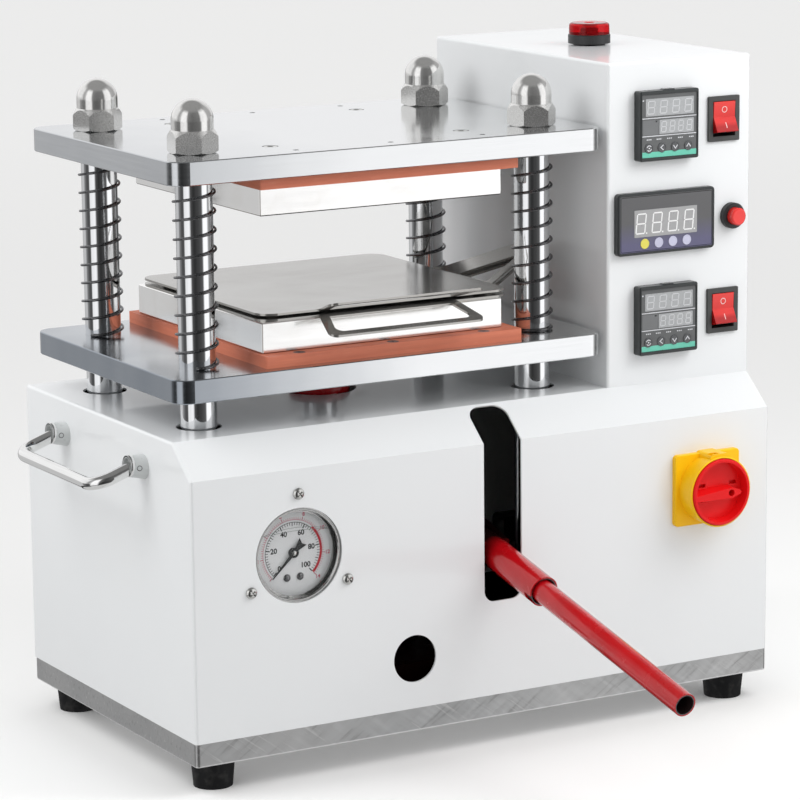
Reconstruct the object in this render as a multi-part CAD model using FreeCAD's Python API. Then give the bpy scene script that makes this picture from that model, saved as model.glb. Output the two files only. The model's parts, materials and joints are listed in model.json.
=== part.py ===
import FreeCAD, Part
import os
from math import atan2, cos, degrees, hypot, radians, sin, sqrt, tan

# Hand-pumped hydraulic hot press for curing rubber moulds: a bottle jack in a sheet-metal
# cabinet lifts a heated lower platen on four columns against a fixed heated upper platen.
# Millimetres. X runs along the front, Y runs from the front to the back, Z is up.
# Everything is drawn from the middle of the cabinet's front edge at table level; save()
# moves it so that the origin lies under the middle of the whole press's box.

V = FreeCAD.Vector
X_AXIS, Y_AXIS, Z_AXIS = V(1, 0, 0), V(0, 1, 0), V(0, 0, 1)

# ---------------------------------------------------------------- driving dimensions
# Cabinet and tower
HOUSING_W = 460.0
HOUSING_D = 259.0
SHEET = 1.5
FOLD_R = 2.0
FOOT_H = 20.0
FOOT_R_TOP, FOOT_R_BOTTOM = 15.0, 12.5
FOOT_INSET_X, FOOT_INSET_Y = 23.0, 22.0
BASE_T = 16.0
FRONT_H = 178.0                 # upright part of the front face
SLOPE_H, SLOPE_D = 22.0, 26.0   # sloping face between the front and the deck
TOWER_W = 120.0
TOWER_H = 228.0                 # above the deck
FLANGE = 14.0                   # rear edges folded inwards

# Press frame
PRESS_X, PRESS_Y = -60.2, 137.0
COLUMN_PITCH_X, COLUMN_PITCH_Y = 262.5, 147.6
COLUMN_D, STUD_D = 25.0, 20.0
PLATE_W, PLATE_D, PLATE_T, PLATE_R = 331.5, 229.5, 16.0, 12.0
PLATE_GAP_ABOVE_DECK = 24.5
DAYLIGHT = 128.0                # between the two plates, press open
RUN_FIT = 0.07                  # radial clearance of sliding and turning fits
NUT_AF, NUT_HEX_H, NUT_DOME_D, NUT_H = 30.0, 15.5, 28.5, 36.0
NUT_SHOULDER, NUT_FOOT_CHAMFER = 4.6, 1.4
NUT_TURN = (23.4, 41.0, 45.5, 38.0)

# Springs on the columns
SPRING_WIRE, SPRING_MEAN_R = 1.8, 13.9
SPRING_TURNS = (10.04, 10.83, 10.04, 10.04)
SPRING_FLAT = (0.0, 0.42, 0.0, 0.0)         # turns that lie flat at each end
SPRING_START = (240.0, 181.0, 208.0, 306.0)   # where each lower wire end lies round its column

# Platens
BOARD_W, BOARD_D, BOARD_T = 199.0, 212.0, 8.0
UPPER_BOARD_X, LOWER_BOARD_X = -58.8, -56.6
HEATER_X = -59.9
HEATER_W, HEATER_D = 187.0, 190.0
UPPER_HEATER_T, LOWER_HEATER_T = 19.3, 21.0
CARTRIDGE_D, CARTRIDGE_OUT = 10.0, 5.0
SCREW_PITCH_X, SCREW_PITCH_Y = 72.0, 100.5
CLAMP_PITCH = 74.0
TRAY_X, TRAY_W, TRAY_D, TRAY_T, TRAY_R = -56.0, 194.0, 188.0, 1.5, 12.0
TRAY_GAP = 2.4
LOOP_W, LOOP_OUT, LOOP_FLARE = 106.0, 29.0, 8.0
LOOP_DROP, LOOP_LIFT = 9.5, 8.5
LOOP_ROOT, LOOP_SIDE, LOOP_END = 3.5, 6.5, 4.8
EAR_SLOPE = 18.0                # degrees above level
EAR_BEND_R = 2.0
EAR_OUTLINE = ((0, 66.5), (55, 99), (55, 119.5), (6.4, 141.4), (0, 152.4))
EAR_HOLE = ((0.5, 76), (40.6, 97), (0.5, 115.3))

# Bottle jack
JACK_CAP_D, JACK_HOLE_D, TANK_D, TANK_BORE_D = 44.0, 53.0, 64.0, 54.0
JACK_BASE_H = 22.0
CAP_PROUD = 7.0
RAM_D, RAM_PAD_D, RAM_PAD_H = 26.0, 36.0, 6.0

# Pump lever
LEVER_X = 8.0
PIVOT_Y, PIVOT_Z = 70.0, 147.0
LEVER_REST = 12.5               # degrees below level
LEVER_SWING = 55.0
SOCKET_D, SOCKET_BORE_D = 21.5, 16.0
SOCKET_MOUTH_D, SOCKET_MOUTH_L = 18.6, 9.0
SOCKET_START, SOCKET_END = 44.0, 125.5
TUBE_D, TUBE_BORE_D, TUBE_START, TUBE_END = 16.0, 13.0, 60.0, 299.0
CHEEK_GAP, CHEEK_T = 14.0, 4.0
PIVOT_PIN_D, PLUNGER_PIN_D, PIN_L = 10.0, 8.0, 26.0
PLUNGER_ARM = 28.0
PLUNGER_D, BARREL_D, BARREL_H = 14.0, 30.0, 42.0
LUG_W = 12.0
SLOT_W, SLOT_FOOT, SLOT_R_FOOT, SLOT_R_TOP, SLOT_ON_SLOPE = 30.0, 66.5, 8.0, 10.0, 32.0

# Release valve, seen through a round hole in the front
VALVE_X, VALVE_Z, VALVE_HOLE_D = -62.5, 71.0, 33.0
VALVE_D, VALVE_HEAD_D, VALVE_FRONT_Y = 12.0, 17.0, 40.0

# Pressure gauge
GAUGE_X, GAUGE_Z = -150.5, 155.0
GAUGE_D, GAUGE_HOLE_D, GAUGE_DEPTH = 63.0, 65.0, 31.0
DIAL_D, DIAL_Y, GLASS_Y, GLASS_T = 59.0, 9.5, 3.2, 2.0
GAUGE_SCREW_R = 42.0
NEEDLE_REST = 225.0             # degrees anticlockwise from +X, seen from the front
PIPE_D = 6.0

# Carrying handles
HANDLE_Y, HANDLE_Z, HANDLE_PITCH = 132.2, 214.4, 125.2
HANDLE_OUT, HANDLE_DROP = 36.0, 11.8
HANDLE_D, HANDLE_BEND_R = 9.0, 13.0
FERRULE_Z, FERRULE_D, FERRULE_TIP_D, FERRULE_L, FERRULE_RISE = 211.9, 17.0, 14.4, 12.2, 1.6

# Main switch
SWITCH_X, SWITCH_Z = 175.0, 162.3
SWITCH_PLATE_W, SWITCH_PLATE_H, SWITCH_PLATE_T, SWITCH_PLATE_R = 54.5, 51.5, 4.0, 3.0
COLLAR_ROOT_D, COLLAR_D, COLLAR_END = 47.6, 50.4, 20.8
KNOB_D, KNOB_END, KNOB_FLOOR, KNOB_RIM = 47.6, 22.5, 14.5, 2.4
GRIP_FACE_W, GRIP_ROOT_W, GRIP_LOW, GRIP_SLANT = 7.6, 10.4, 1.5, 1.5

# Tower front
DEVICE_X = 156.5
UPPER_CONTROLLER_Z, LOWER_CONTROLLER_Z = 419.0, 281.9
CONTROLLER, CONTROLLER_PROUD, CONTROLLER_BODY, CONTROLLER_DEPTH = 49.0, 8.0, 44.5, 70.0
METER_X, METER_Z, METER_W, METER_H, METER_PROUD = 156.2, 350.8, 81.5, 43.8, 5.0
METER_BODY_W, METER_BODY_H, METER_DEPTH = 75.5, 39.0, 26.0
ROCKER_X, UPPER_ROCKER_Z, LOWER_ROCKER_Z = 206.5, 419.5, 282.7
ROCKER_W, ROCKER_H, ROCKER_PROUD, ROCKER_DEPTH = 26.0, 32.0, 2.0, 22.0
ROCKER_KEY_W, ROCKER_KEY_H, ROCKER_TILT = 18.0, 24.0, 12.0
ROCKER_PIVOT_D, ROCKER_PIVOT_IN = 3.0, 3.0
BUTTON_X, BUTTON_Z, BUTTON_BEZEL_D, BUTTON_BEZEL_PROUD = 214.0, 350.0, 18.4, 5.2
BUTTON_CAP_D, BUTTON_PROUD, BUTTON_STEM_D, BUTTON_DEPTH = 12.4, 10.7, 7.0, 22.0
BUZZER_X, BUZZER_Y, BUZZER_D, BUZZER_BASE_H, BUZZER_LENS_H = 170.2, 143.2, 30.7, 7.8, 8.2
BUZZER_FOOT_D, BUZZER_FOOT_H = 23.2, 1.3

# Rear
COVER_MARGIN = 4.0
VENT_W, VENT_H, VENT_PITCH = 60.0, 3.5, 8.0
INLET_X, INLET_Z, INLET_W, INLET_H = 170.0, 84.0, 48.0, 28.0
PAN_HEAD_D, PAN_HEAD_H, PAN_SHANK_D, PAN_SHANK_L = 8.0, 2.6, 4.0, 10.0

# ---------------------------------------------------------------- places that follow
LEFT, RIGHT = -HOUSING_W / 2, HOUSING_W / 2
BASE_Z = FOOT_H
SHELL_Z = BASE_Z + BASE_T
FOLD_Z = SHELL_Z + FRONT_H
DECK_Z = FOLD_Z + SLOPE_H
TOWER_LEFT = RIGHT - TOWER_W
TOWER_TOP = DECK_Z + TOWER_H
LOWER_PLATE_Z = DECK_Z + PLATE_GAP_ABOVE_DECK
LOWER_PLATE_TOP = LOWER_PLATE_Z + PLATE_T
UPPER_PLATE_Z = LOWER_PLATE_TOP + DAYLIGHT
UPPER_PLATE_TOP = UPPER_PLATE_Z + PLATE_T
LOWER_HEATER_Z = LOWER_PLATE_TOP + BOARD_T
UPPER_HEATER_Z = UPPER_PLATE_Z - BOARD_T - UPPER_HEATER_T
LOWER_TRAY_Z = LOWER_HEATER_Z + LOWER_HEATER_T
UPPER_TRAY_Z = LOWER_TRAY_Z + TRAY_T + TRAY_GAP
TOWER_FRONT = SLOPE_D
JACK_TOP = DECK_Z + CAP_PROUD
JACK_BASE_TOP = SHELL_Z + JACK_BASE_H
TRAY_FRONT = PRESS_Y - TRAY_D / 2
TRAY_RIGHT = TRAY_X + TRAY_W / 2
PLUNGER_LOW = LEVER_SWING / 2    # degrees below level of the plunger arm at rest
PLUNGER_Y = PIVOT_Y - PLUNGER_ARM * (1 + cos(radians(PLUNGER_LOW))) / 2
PLUNGER_PIN_Z = PIVOT_Z - PLUNGER_ARM * sin(radians(PLUNGER_LOW))
LEVER_TIP_Y = PIVOT_Y - TUBE_END * cos(radians(LEVER_REST)) - TUBE_D / 2 * sin(radians(LEVER_REST))
BACK_Y = HOUSING_D + SHEET + PAN_HEAD_H
MIDDLE_Y = (LEVER_TIP_Y + BACK_Y) / 2
COLUMNS = [
    (name, PRESS_X + sx * COLUMN_PITCH_X / 2, PRESS_Y + sy * COLUMN_PITCH_Y / 2)
    for name, sx, sy in (
        ("front_left", -1, -1), ("front_right", 1, -1), ("rear_left", -1, 1), ("rear_right", 1, 1)
    )
]
BOARD_SCREWS = [
    (LOWER_BOARD_X + i * SCREW_PITCH_X, PRESS_Y + j * SCREW_PITCH_Y) for i in (-1, 0, 1) for j in (-1, 1)
]
CLAMP_SCREWS = [(HEATER_X + i * CLAMP_PITCH, PRESS_Y + j * CLAMP_PITCH) for i in (-1, 1) for j in (-1, 1)]


# ---------------------------------------------------------------- small helpers
def box(x0, x1, y0, y1, z0, z1):
    return Part.makeBox(x1 - x0, y1 - y0, z1 - z0, V(x0, y0, z0))


def rod(d, length, start, axis=Z_AXIS):
    return Part.makeCylinder(d / 2, length, V(*start), axis)


def fuse(shapes):
    whole = shapes[0]
    for shape in shapes[1:]:
        whole = whole.fuse(shape)
    return whole.removeSplitter()


def cut(shape, tools):
    for tool in tools:
        shape = shape.cut(tool)
    return shape


def edges_along(shape, axis):
    """Straight edges parallel to an axis."""
    found = []
    for edge in shape.Edges:
        if len(edge.Vertexes) == 2 and isinstance(edge.Curve, (Part.Line, Part.LineSegment)):
            way = edge.Vertexes[1].Point - edge.Vertexes[0].Point
            if way.cross(axis).Length < 1e-6 * way.Length:
                found.append(edge)
    return found


def edges_at(shape, axis, level):
    """Edges that lie wholly in a plane square to an axis."""
    near = []
    for edge in shape.Edges:
        if all(abs(v.Point.dot(axis) - level) < 1e-6 for v in edge.Vertexes):
            middle = edge.valueAt((edge.FirstParameter + edge.LastParameter) / 2)
            if abs(middle.dot(axis) - level) < 1e-6:
                near.append(edge)
    return near


def slab(cx, cy, w, d, z, t, r):
    """Flat plate with its four upright edges rounded."""
    plate = box(cx - w / 2, cx + w / 2, cy - d / 2, cy + d / 2, z, z + t)
    return plate.makeFillet(r, edges_along(plate, Z_AXIS))


def panel(cx, cz, w, h, y0, y1, r):
    """Upright plate facing the front, with its four corner edges rounded."""
    plate = box(cx - w / 2, cx + w / 2, y0, y1, cz - h / 2, cz + h / 2)
    return plate.makeFillet(r, edges_along(plate, Y_AXIS)) if r else plate


def prism(points, sweep):
    face = Part.Face(Part.makePolygon([V(*p) for p in points] + [V(*points[0])]))
    return face.extrude(sweep)


def turned(profile, at, axis=Z_AXIS):
    """Solid of revolution from (radius, height) points, its axis through a point."""
    points = [V(r, 0, h) for r, h in profile]
    face = Part.Face(Part.makePolygon(points + points[:1]))
    solid = face.revolve(V(0, 0, 0), Z_AXIS, 360)
    solid.Placement = FreeCAD.Placement(V(*at), FreeCAD.Rotation(Z_AXIS, axis))
    return solid


def swept(points, d, bend_r):
    """Round bar along straight runs joined by tangent arcs."""
    points = [V(*p) for p in points]
    edges, here = [], points[0]
    for before, corner, after in zip(points, points[1:], points[2:]):
        way_in, way_out = (corner - before).normalize(), (after - corner).normalize()
        turn = way_in.getAngle(way_out)
        reach = bend_r * tan(turn / 2)
        start, end = corner - way_in * reach, corner + way_out * reach
        inward = (way_out - way_in).normalize()
        middle = corner + inward * (bend_r / cos(turn / 2) - bend_r)
        edges += [Part.LineSegment(here, start).toShape(), Part.Arc(start, middle, end).toShape()]
        here = end
    edges.append(Part.LineSegment(here, points[-1]).toShape())
    path = Part.Wire(edges)
    ring = Part.Wire(Part.makeCircle(d / 2, points[0], points[1] - points[0]))
    return path.makePipeShell([ring], True, False)


def pan_screw(at, outward):
    """Cross-recess pan-head screw; its head's seat is at the given point."""
    r, h = PAN_HEAD_D / 2, PAN_HEAD_H
    head = turned([(0, -PAN_SHANK_L), (PAN_SHANK_D / 2, -PAN_SHANK_L), (PAN_SHANK_D / 2, 0),
                   (r, 0), (r, h * 0.35), (r * 0.8, h * 0.8), (r * 0.45, h), (0, h)], (0, 0, 0))
    for turn in (45, 135):
        slot = box(-r * 0.55, r * 0.55, -0.5, 0.5, h * 0.45, h + 1)
        slot.rotate(V(0, 0, 0), Z_AXIS, turn)
        head = head.cut(slot)
    head.Placement = FreeCAD.Placement(V(*at), FreeCAD.Rotation(Z_AXIS, outward)).multiply(head.Placement)
    return head


# ---------------------------------------------------------------- base, feet and cabinet
def foot_places():
    for x in (LEFT + FOOT_INSET_X, RIGHT - FOOT_INSET_X):
        for y in (FOOT_INSET_Y, HOUSING_D - FOOT_INSET_Y):
            yield x, y


def base_plate():
    plate = slab(0, HOUSING_D / 2, HOUSING_W, HOUSING_D, BASE_Z, BASE_T, 3)
    plate = plate.makeChamfer(0.6, edges_at(plate, Z_AXIS, BASE_Z))
    holes = [rod(6, BASE_T, (x, y, BASE_Z)) for x, y in foot_places()]
    for _, x, y in COLUMNS:
        holes += [rod(10, BASE_T, (x, y, BASE_Z)), rod(18, 9, (x, y, BASE_Z))]
    return cut(plate, holes)


def rubber_feet():
    feet = []
    for x, y in foot_places():
        profile = [(3, FOOT_H), (FOOT_R_TOP, FOOT_H), (FOOT_R_TOP, FOOT_H - 1.5),
                   (FOOT_R_BOTTOM + 0.8, 0), (7, 0), (7, 9), (3, 9)]
        feet.append(turned(profile, (x, y, 0)))
    return Part.makeCompound(feet)


def base_screws():
    """Cap screws that hold the columns, and the screws in the feet, all from below."""
    screws = []
    for _, x, y in COLUMNS:
        screws.append(turned([(0, 4), (3.5, 4), (3.5, 0), (8, 0), (8, 8.5), (5, 8.5), (5, 34), (0, 34)],
                             (x, y, BASE_Z + 0.5)))
    for x, y in foot_places():
        screws.append(turned([(0, 5), (6, 5), (6, 9), (3, 9), (3, BASE_Z + 12), (0, BASE_Z + 12)],
                             (x, y, 0)))
    return Part.makeCompound(screws)


def side_profile(inset):
    """Side view of the cabinet; an inset draws the space inside its sheet."""
    slope = hypot(SLOPE_H, SLOPE_D)
    low = inset * (slope - SLOPE_D) / SLOPE_H
    high = inset * (slope - SLOPE_H) / SLOPE_D
    return [(0, inset, SHELL_Z), (0, inset, FOLD_Z - low), (0, SLOPE_D + high, DECK_Z - inset),
            (0, HOUSING_D, DECK_Z - inset), (0, HOUSING_D, SHELL_Z)]


def lever_slot():
    """Tool for the slot that runs up the front and on over the sloping face."""
    foot = SHELL_Z + SLOT_FOOT
    upright = panel(LEVER_X, (foot + FOLD_Z + 30) / 2, SLOT_W, FOLD_Z + 30 - foot, -6, SHEET + 6, SLOT_R_FOOT)
    upright = upright.common(box(LEVER_X - SLOT_W, LEVER_X + SLOT_W, -9, 20, SHELL_Z, FOLD_Z))
    tongue = box(LEVER_X - SLOT_W / 2, LEVER_X + SLOT_W / 2, -20, SLOT_ON_SLOPE, -8, 8)
    far = [e for e in edges_along(tongue, Z_AXIS) if e.Vertexes[0].Point.y > 0]
    tongue = tongue.makeFillet(SLOT_R_TOP, far)
    tongue.rotate(V(0, 0, 0), X_AXIS, degrees(atan2(SLOPE_H, SLOPE_D)))
    tongue.translate(V(0, 0, FOLD_Z))
    tongue = tongue.common(box(LEVER_X - SLOT_W, LEVER_X + SLOT_W, -9, 60, FOLD_Z, DECK_Z + 9))
    return [upright, tongue]


def handle_holes():
    return [rod(6, HOUSING_W + 20, (LEFT - 10, HANDLE_Y + s * HANDLE_PITCH / 2, FERRULE_Z), X_AXIS)
            for s in (-1, 1)]


def gauge_screw_places():
    for turn in (90, 210, 330):
        yield GAUGE_X + GAUGE_SCREW_R * cos(radians(turn)), GAUGE_Z + GAUGE_SCREW_R * sin(radians(turn))


def cabinet():
    outer = prism([(LEFT, y, z) for _, y, z in side_profile(0)], V(HOUSING_W, 0, 0))
    rounded = edges_at(outer, X_AXIS, LEFT) + edges_at(outer, X_AXIS, RIGHT)
    rounded = [e for e in rounded if not all(abs(v.Point.z - SHELL_Z) < 1e-6 for v in e.Vertexes)
               and not all(abs(v.Point.y - HOUSING_D) < 1e-6 for v in e.Vertexes)]
    outer = outer.makeFillet(FOLD_R, rounded)
    inside = prism([(LEFT + SHEET, y, z) for _, y, z in side_profile(SHEET)],
                   V(HOUSING_W - 2 * SHEET, 0, 0))
    shell = outer.cut(inside.cut(rear_flange(LEFT, RIGHT, SHELL_Z, DECK_Z, False)))
    holes = lever_slot() + handle_holes()
    holes.append(rod(GAUGE_HOLE_D, 20, (GAUGE_X, -5, GAUGE_Z), Y_AXIS))
    holes += [rod(PAN_SHANK_D, 20, (x, -5, z), Y_AXIS) for x, z in gauge_screw_places()]
    holes.append(rod(VALVE_HOLE_D, 20, (VALVE_X, -5, VALVE_Z), Y_AXIS))
    holes.append(rod(22, 20, (SWITCH_X, -5, SWITCH_Z), Y_AXIS))
    holes += [rod(31, 20, (x, y, DECK_Z - 10)) for _, x, y in COLUMNS]
    holes.append(rod(JACK_HOLE_D, 20, (PRESS_X, PRESS_Y, DECK_Z - 10)))
    holes.append(slab((TOWER_LEFT + RIGHT) / 2, 190, 70, 70, DECK_Z - 10, 20, 6))
    holes += [rod(PAN_SHANK_D, 9, (x, HOUSING_D - 5, z), Y_AXIS) for x, z in cabinet_cover_screws()]
    return cut(shell, holes)


def rear_flange(x0, x1, z0, z1, bottom):
    """Return edge along the sides and top of the open back."""
    y0 = HOUSING_D - SHEET
    low = z0 + FLANGE if bottom else z0 - 5
    frame = box(x0, x1, y0, HOUSING_D + 5, z0, z1)
    return frame.cut(box(x0 + FLANGE, x1 - FLANGE, y0 - 5, HOUSING_D + 9, low, z1 - FLANGE))


def control_tower():
    outer = box(TOWER_LEFT, RIGHT, TOWER_FRONT, HOUSING_D, DECK_Z, TOWER_TOP)
    top = [e for e in edges_at(outer, Z_AXIS, TOWER_TOP)
           if not all(abs(v.Point.y - HOUSING_D) < 1e-6 for v in e.Vertexes)]
    front = [e for e in edges_along(outer, Z_AXIS) if abs(e.Vertexes[0].Point.y - TOWER_FRONT) < 1e-6]
    outer = outer.makeFillet(FOLD_R, top + front)
    inside = box(TOWER_LEFT + SHEET, RIGHT - SHEET, TOWER_FRONT + SHEET, HOUSING_D, DECK_Z, TOWER_TOP - SHEET)
    shell = outer.cut(inside.cut(rear_flange(TOWER_LEFT, RIGHT, DECK_Z, TOWER_TOP, True)))
    y = TOWER_FRONT
    holes = [panel(DEVICE_X, z, CONTROLLER_BODY, CONTROLLER_BODY, y - 5, y + 5, 0)
             for z in (UPPER_CONTROLLER_Z, LOWER_CONTROLLER_Z)]
    holes.append(panel(METER_X, METER_Z, METER_BODY_W, METER_BODY_H, y - 5, y + 5, 0))
    holes += [panel(ROCKER_X, z, ROCKER_W - 3.5, ROCKER_H - 3.5, y - 5, y + 5, 0)
              for z in (UPPER_ROCKER_Z, LOWER_ROCKER_Z)]
    holes.append(rod(12, 10, (BUTTON_X, y - 5, BUTTON_Z), Y_AXIS))
    holes.append(rod(10, 10, (BUZZER_X, BUZZER_Y, TOWER_TOP - 5)))
    holes += [rod(PAN_SHANK_D, 9, (x, HOUSING_D - 5, z), Y_AXIS) for x, z in tower_cover_screws()]
    return cut(shell, holes)


def corners(x0, x1, z0, z1, inset, extra):
    """Screw places round a cover: its corners and, if asked, the middles of its long sides."""
    places = [(x, z) for x in (x0 + inset, x1 - inset) for z in (z0 + inset, z1 - inset)]
    return places + extra


def cabinet_cover_screws():
    inset = FLANGE / 2 + COVER_MARGIN / 2
    top = DECK_Z - inset
    middle = (SHELL_Z + DECK_Z) / 2
    return ([(x, top) for x in (LEFT + inset, 0, RIGHT - inset)]
            + [(x, z) for x in (LEFT + inset, RIGHT - inset) for z in (middle, SHELL_Z + 2 * inset)])


def tower_cover_screws():
    inset = FLANGE / 2 + COVER_MARGIN / 2
    middle = (DECK_Z + TOWER_TOP) / 2
    return corners(TOWER_LEFT, RIGHT, DECK_Z, TOWER_TOP, inset,
                   [(TOWER_LEFT + inset, middle), (RIGHT - inset, middle)])


def vents(cx, z_low, count):
    """Stack of slots through a rear cover."""
    slots = []
    for i in range(count):
        slots.append(panel(cx, z_low + i * VENT_PITCH, VENT_W, VENT_H,
                           HOUSING_D - 4, HOUSING_D + 6, VENT_H / 2 - 0.05))
    return slots


def cover(x0, x1, z0, z1, screws, openings):
    m = COVER_MARGIN
    plate = panel((x0 + x1) / 2, (z0 + z1) / 2, x1 - x0 - 2 * m, z1 - z0 - 2 * m,
                  HOUSING_D, HOUSING_D + SHEET, 4)
    holes = [rod(PAN_SHANK_D, 9, (x, HOUSING_D - 4, z), Y_AXIS) for x, z in screws]
    return cut(plate, holes + openings)


def cabinet_rear_cover():
    openings = vents(-150, 90, 8) + vents(-70, 90, 8)
    openings.append(panel(INLET_X, INLET_Z, 27.6, 20.2, HOUSING_D - 4, HOUSING_D + 6, 3))
    openings += [rod(3.4, 9, (INLET_X + s * 20, HOUSING_D - 4, INLET_Z), Y_AXIS) for s in (-1, 1)]
    return cover(LEFT, RIGHT, SHELL_Z, DECK_Z, cabinet_cover_screws(), openings)


def tower_rear_cover():
    middle = (TOWER_LEFT + RIGHT) / 2
    return cover(TOWER_LEFT, RIGHT, DECK_Z, TOWER_TOP, tower_cover_screws(),
                 vents(middle, DECK_Z + 120, 8))


def panel_screws():
    """The pan-head screws of the gauge flange and of both rear covers."""
    front = [pan_screw((x, 0, z), V(0, -1, 0)) for x, z in gauge_screw_places()]
    rear = [pan_screw((x, HOUSING_D + SHEET, z), Y_AXIS)
            for x, z in cabinet_cover_screws() + tower_cover_screws()]
    return Part.makeCompound(front + rear)


def power_inlet():
    """Three-pin appliance inlet, screwed to the rear cover from outside."""
    y = HOUSING_D + SHEET
    flange = panel(INLET_X, INLET_Z, INLET_W, INLET_H * 0.82, y, y + 2, 6)
    body = panel(INLET_X, INLET_Z, 27.2, 19.8, y - 18, y + 2, 3)
    recess = panel(INLET_X, INLET_Z, 24, 16.5, y - 14, y + 4, 4)
    pins = [box(INLET_X + dx - 1, INLET_X + dx + 1, y - 14, y - 2, INLET_Z + dz - 2, INLET_Z + dz + 2)
            for dx, dz in ((-7, -2.5), (7, -2.5), (0, 3))]
    holes = [rod(3.2, 9, (INLET_X + s * 20, y - 3, INLET_Z), Y_AXIS) for s in (-1, 1)]
    return fuse([cut(fuse([flange, body]), [recess] + holes)] + pins)


# ---------------------------------------------------------------- columns, nuts, springs
def column(x, y):
    r, stud = COLUMN_D / 2, STUD_D / 2
    top = UPPER_PLATE_TOP + 22
    profile = [(5, SHELL_Z), (r - 1, SHELL_Z), (r, SHELL_Z + 1), (r, UPPER_PLATE_Z - 0.5),
               (r - 0.5, UPPER_PLATE_Z), (stud, UPPER_PLATE_Z), (stud, top - 1.5), (stud - 1.5, top),
               (0, top), (0, SHELL_Z + 24), (5, SHELL_Z + 24)]
    return turned(profile, (x, y, 0))


def cap_nut(x, y, turn):
    """Hexagon nut with a domed cap over a blind thread."""
    corner = NUT_AF / sqrt(3)
    r = NUT_DOME_D / 2
    sixths = [radians(60 * i) for i in range(6)]
    hexagon = prism([(corner * cos(a), corner * sin(a), 0) for a in sixths], V(0, 0, NUT_HEX_H))
    limit = turned([(0, 0), (NUT_AF / 2 - 0.2, 0), (corner, NUT_FOOT_CHAMFER),
                    (corner, NUT_HEX_H - NUT_SHOULDER), (r + 0.3, NUT_HEX_H), (0, NUT_HEX_H)], (0, 0, 0))
    dome = rod(NUT_DOME_D, NUT_H - r - NUT_HEX_H + 1, (0, 0, NUT_HEX_H - 1))
    dome = fuse([dome, Part.makeSphere(r, V(0, 0, NUT_H - r))])
    nut = fuse([hexagon.common(limit), dome]).cut(rod(STUD_D, 23, (0, 0, 0)))
    nut.rotate(V(0, 0, 0), Z_AXIS, turn)
    nut.translate(V(x, y, UPPER_PLATE_TOP))
    return nut


def cap_nuts():
    return Part.makeCompound([cap_nut(x, y, turn) for (_, x, y), turn in zip(COLUMNS, NUT_TURN)])


def coil_rise(turn, turns, flat):
    """Share of full pitch at a point of the wire: the ends lie flat against the plates."""
    inward = min(turn, turns - turn)
    blend = min(max((inward - flat) / 0.15, 0), 1)
    return 0.1 + 0.9 * blend


def spring(x, y, turns, flat, start):
    """Open coil spring between the plates."""
    steps = 12
    count = round(turns * steps)
    heights = [0.0]
    for i in range(count):
        heights.append(heights[-1] + coil_rise((i + 0.5) * turns / count, turns, flat))
    scale = (DAYLIGHT - SPRING_WIRE) / heights[-1]
    points = []
    for i, height in enumerate(heights):
        turn = radians(start + 360 * turns * i / count)
        points.append(V(SPRING_MEAN_R * cos(turn), SPRING_MEAN_R * sin(turn), height * scale))
    line = Part.BSplineCurve()
    line.interpolate(points)
    path = Part.Wire(line.toShape())
    ring = Part.Wire(Part.makeCircle(SPRING_WIRE / 2, points[0], line.tangent(line.FirstParameter)[0]))
    wire = path.makePipeShell([ring], True, True)
    wire.translate(V(x, y, LOWER_PLATE_TOP + SPRING_WIRE / 2))
    return wire


# ---------------------------------------------------------------- plates and platens
def press_plate(z, column_hole_d):
    plate = slab(PRESS_X, PRESS_Y, PLATE_W, PLATE_D, z, PLATE_T, PLATE_R)
    rims = edges_at(plate, Z_AXIS, z) + edges_at(plate, Z_AXIS, z + PLATE_T)
    plate = plate.makeChamfer(0.6, rims)
    return cut(plate, [rod(column_hole_d, PLATE_T + 2, (x, y, z - 1)) for _, x, y in COLUMNS])


def top_plate():
    holes = [rod(4, PLATE_T + 2, (x, y, UPPER_PLATE_Z - 1)) for x, y in BOARD_SCREWS]
    for x, y in CLAMP_SCREWS:
        holes += [rod(6, PLATE_T + 2, (x, y, UPPER_PLATE_Z - 1)), rod(11, 8, (x, y, UPPER_PLATE_TOP - 8))]
    return cut(press_plate(UPPER_PLATE_Z, STUD_D + 0.3), holes)


def moving_plate():
    holes = [rod(4, 12, (x, y, LOWER_PLATE_TOP - 12)) for x, y in BOARD_SCREWS]
    for x, y in CLAMP_SCREWS:
        holes += [rod(6, PLATE_T + 2, (x, y, LOWER_PLATE_Z - 1)), rod(11, 8, (x, y, LOWER_PLATE_Z))]
    return cut(press_plate(LOWER_PLATE_Z, COLUMN_D + 2 * RUN_FIT), holes)


def clamp_screw(x, y, seat, up):
    """Socket cap screw that holds a heater block through its plate and board."""
    profile = [(0, -32), (3, -32), (3, 0), (5, 0), (5, 6), (2.5, 6), (2.5, 3), (0, 3)]
    return turned(profile, (x, y, seat), Z_AXIS if up else V(0, 0, -1))


def board_screw(x, y, z, up):
    """Countersunk screw, flush with the board's ledge."""
    return turned([(0, -16), (2, -16), (2, -2.2), (4.2, 0), (1, 0), (1, -1), (0, -1)],
                  (x, y, z), Z_AXIS if up else V(0, 0, -1))


def upper_platen_screws():
    clamps = [clamp_screw(x, y, UPPER_PLATE_TOP - 8, True) for x, y in CLAMP_SCREWS]
    boards = [board_screw(x, y, UPPER_PLATE_Z - BOARD_T, False) for x, y in BOARD_SCREWS]
    return Part.makeCompound(clamps + boards)


def lower_platen_screws():
    clamps = [clamp_screw(x, y, LOWER_PLATE_Z + 8, False) for x, y in CLAMP_SCREWS]
    boards = [board_screw(x, y, LOWER_HEATER_Z, True) for x, y in BOARD_SCREWS]
    return Part.makeCompound(clamps + boards)


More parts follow.
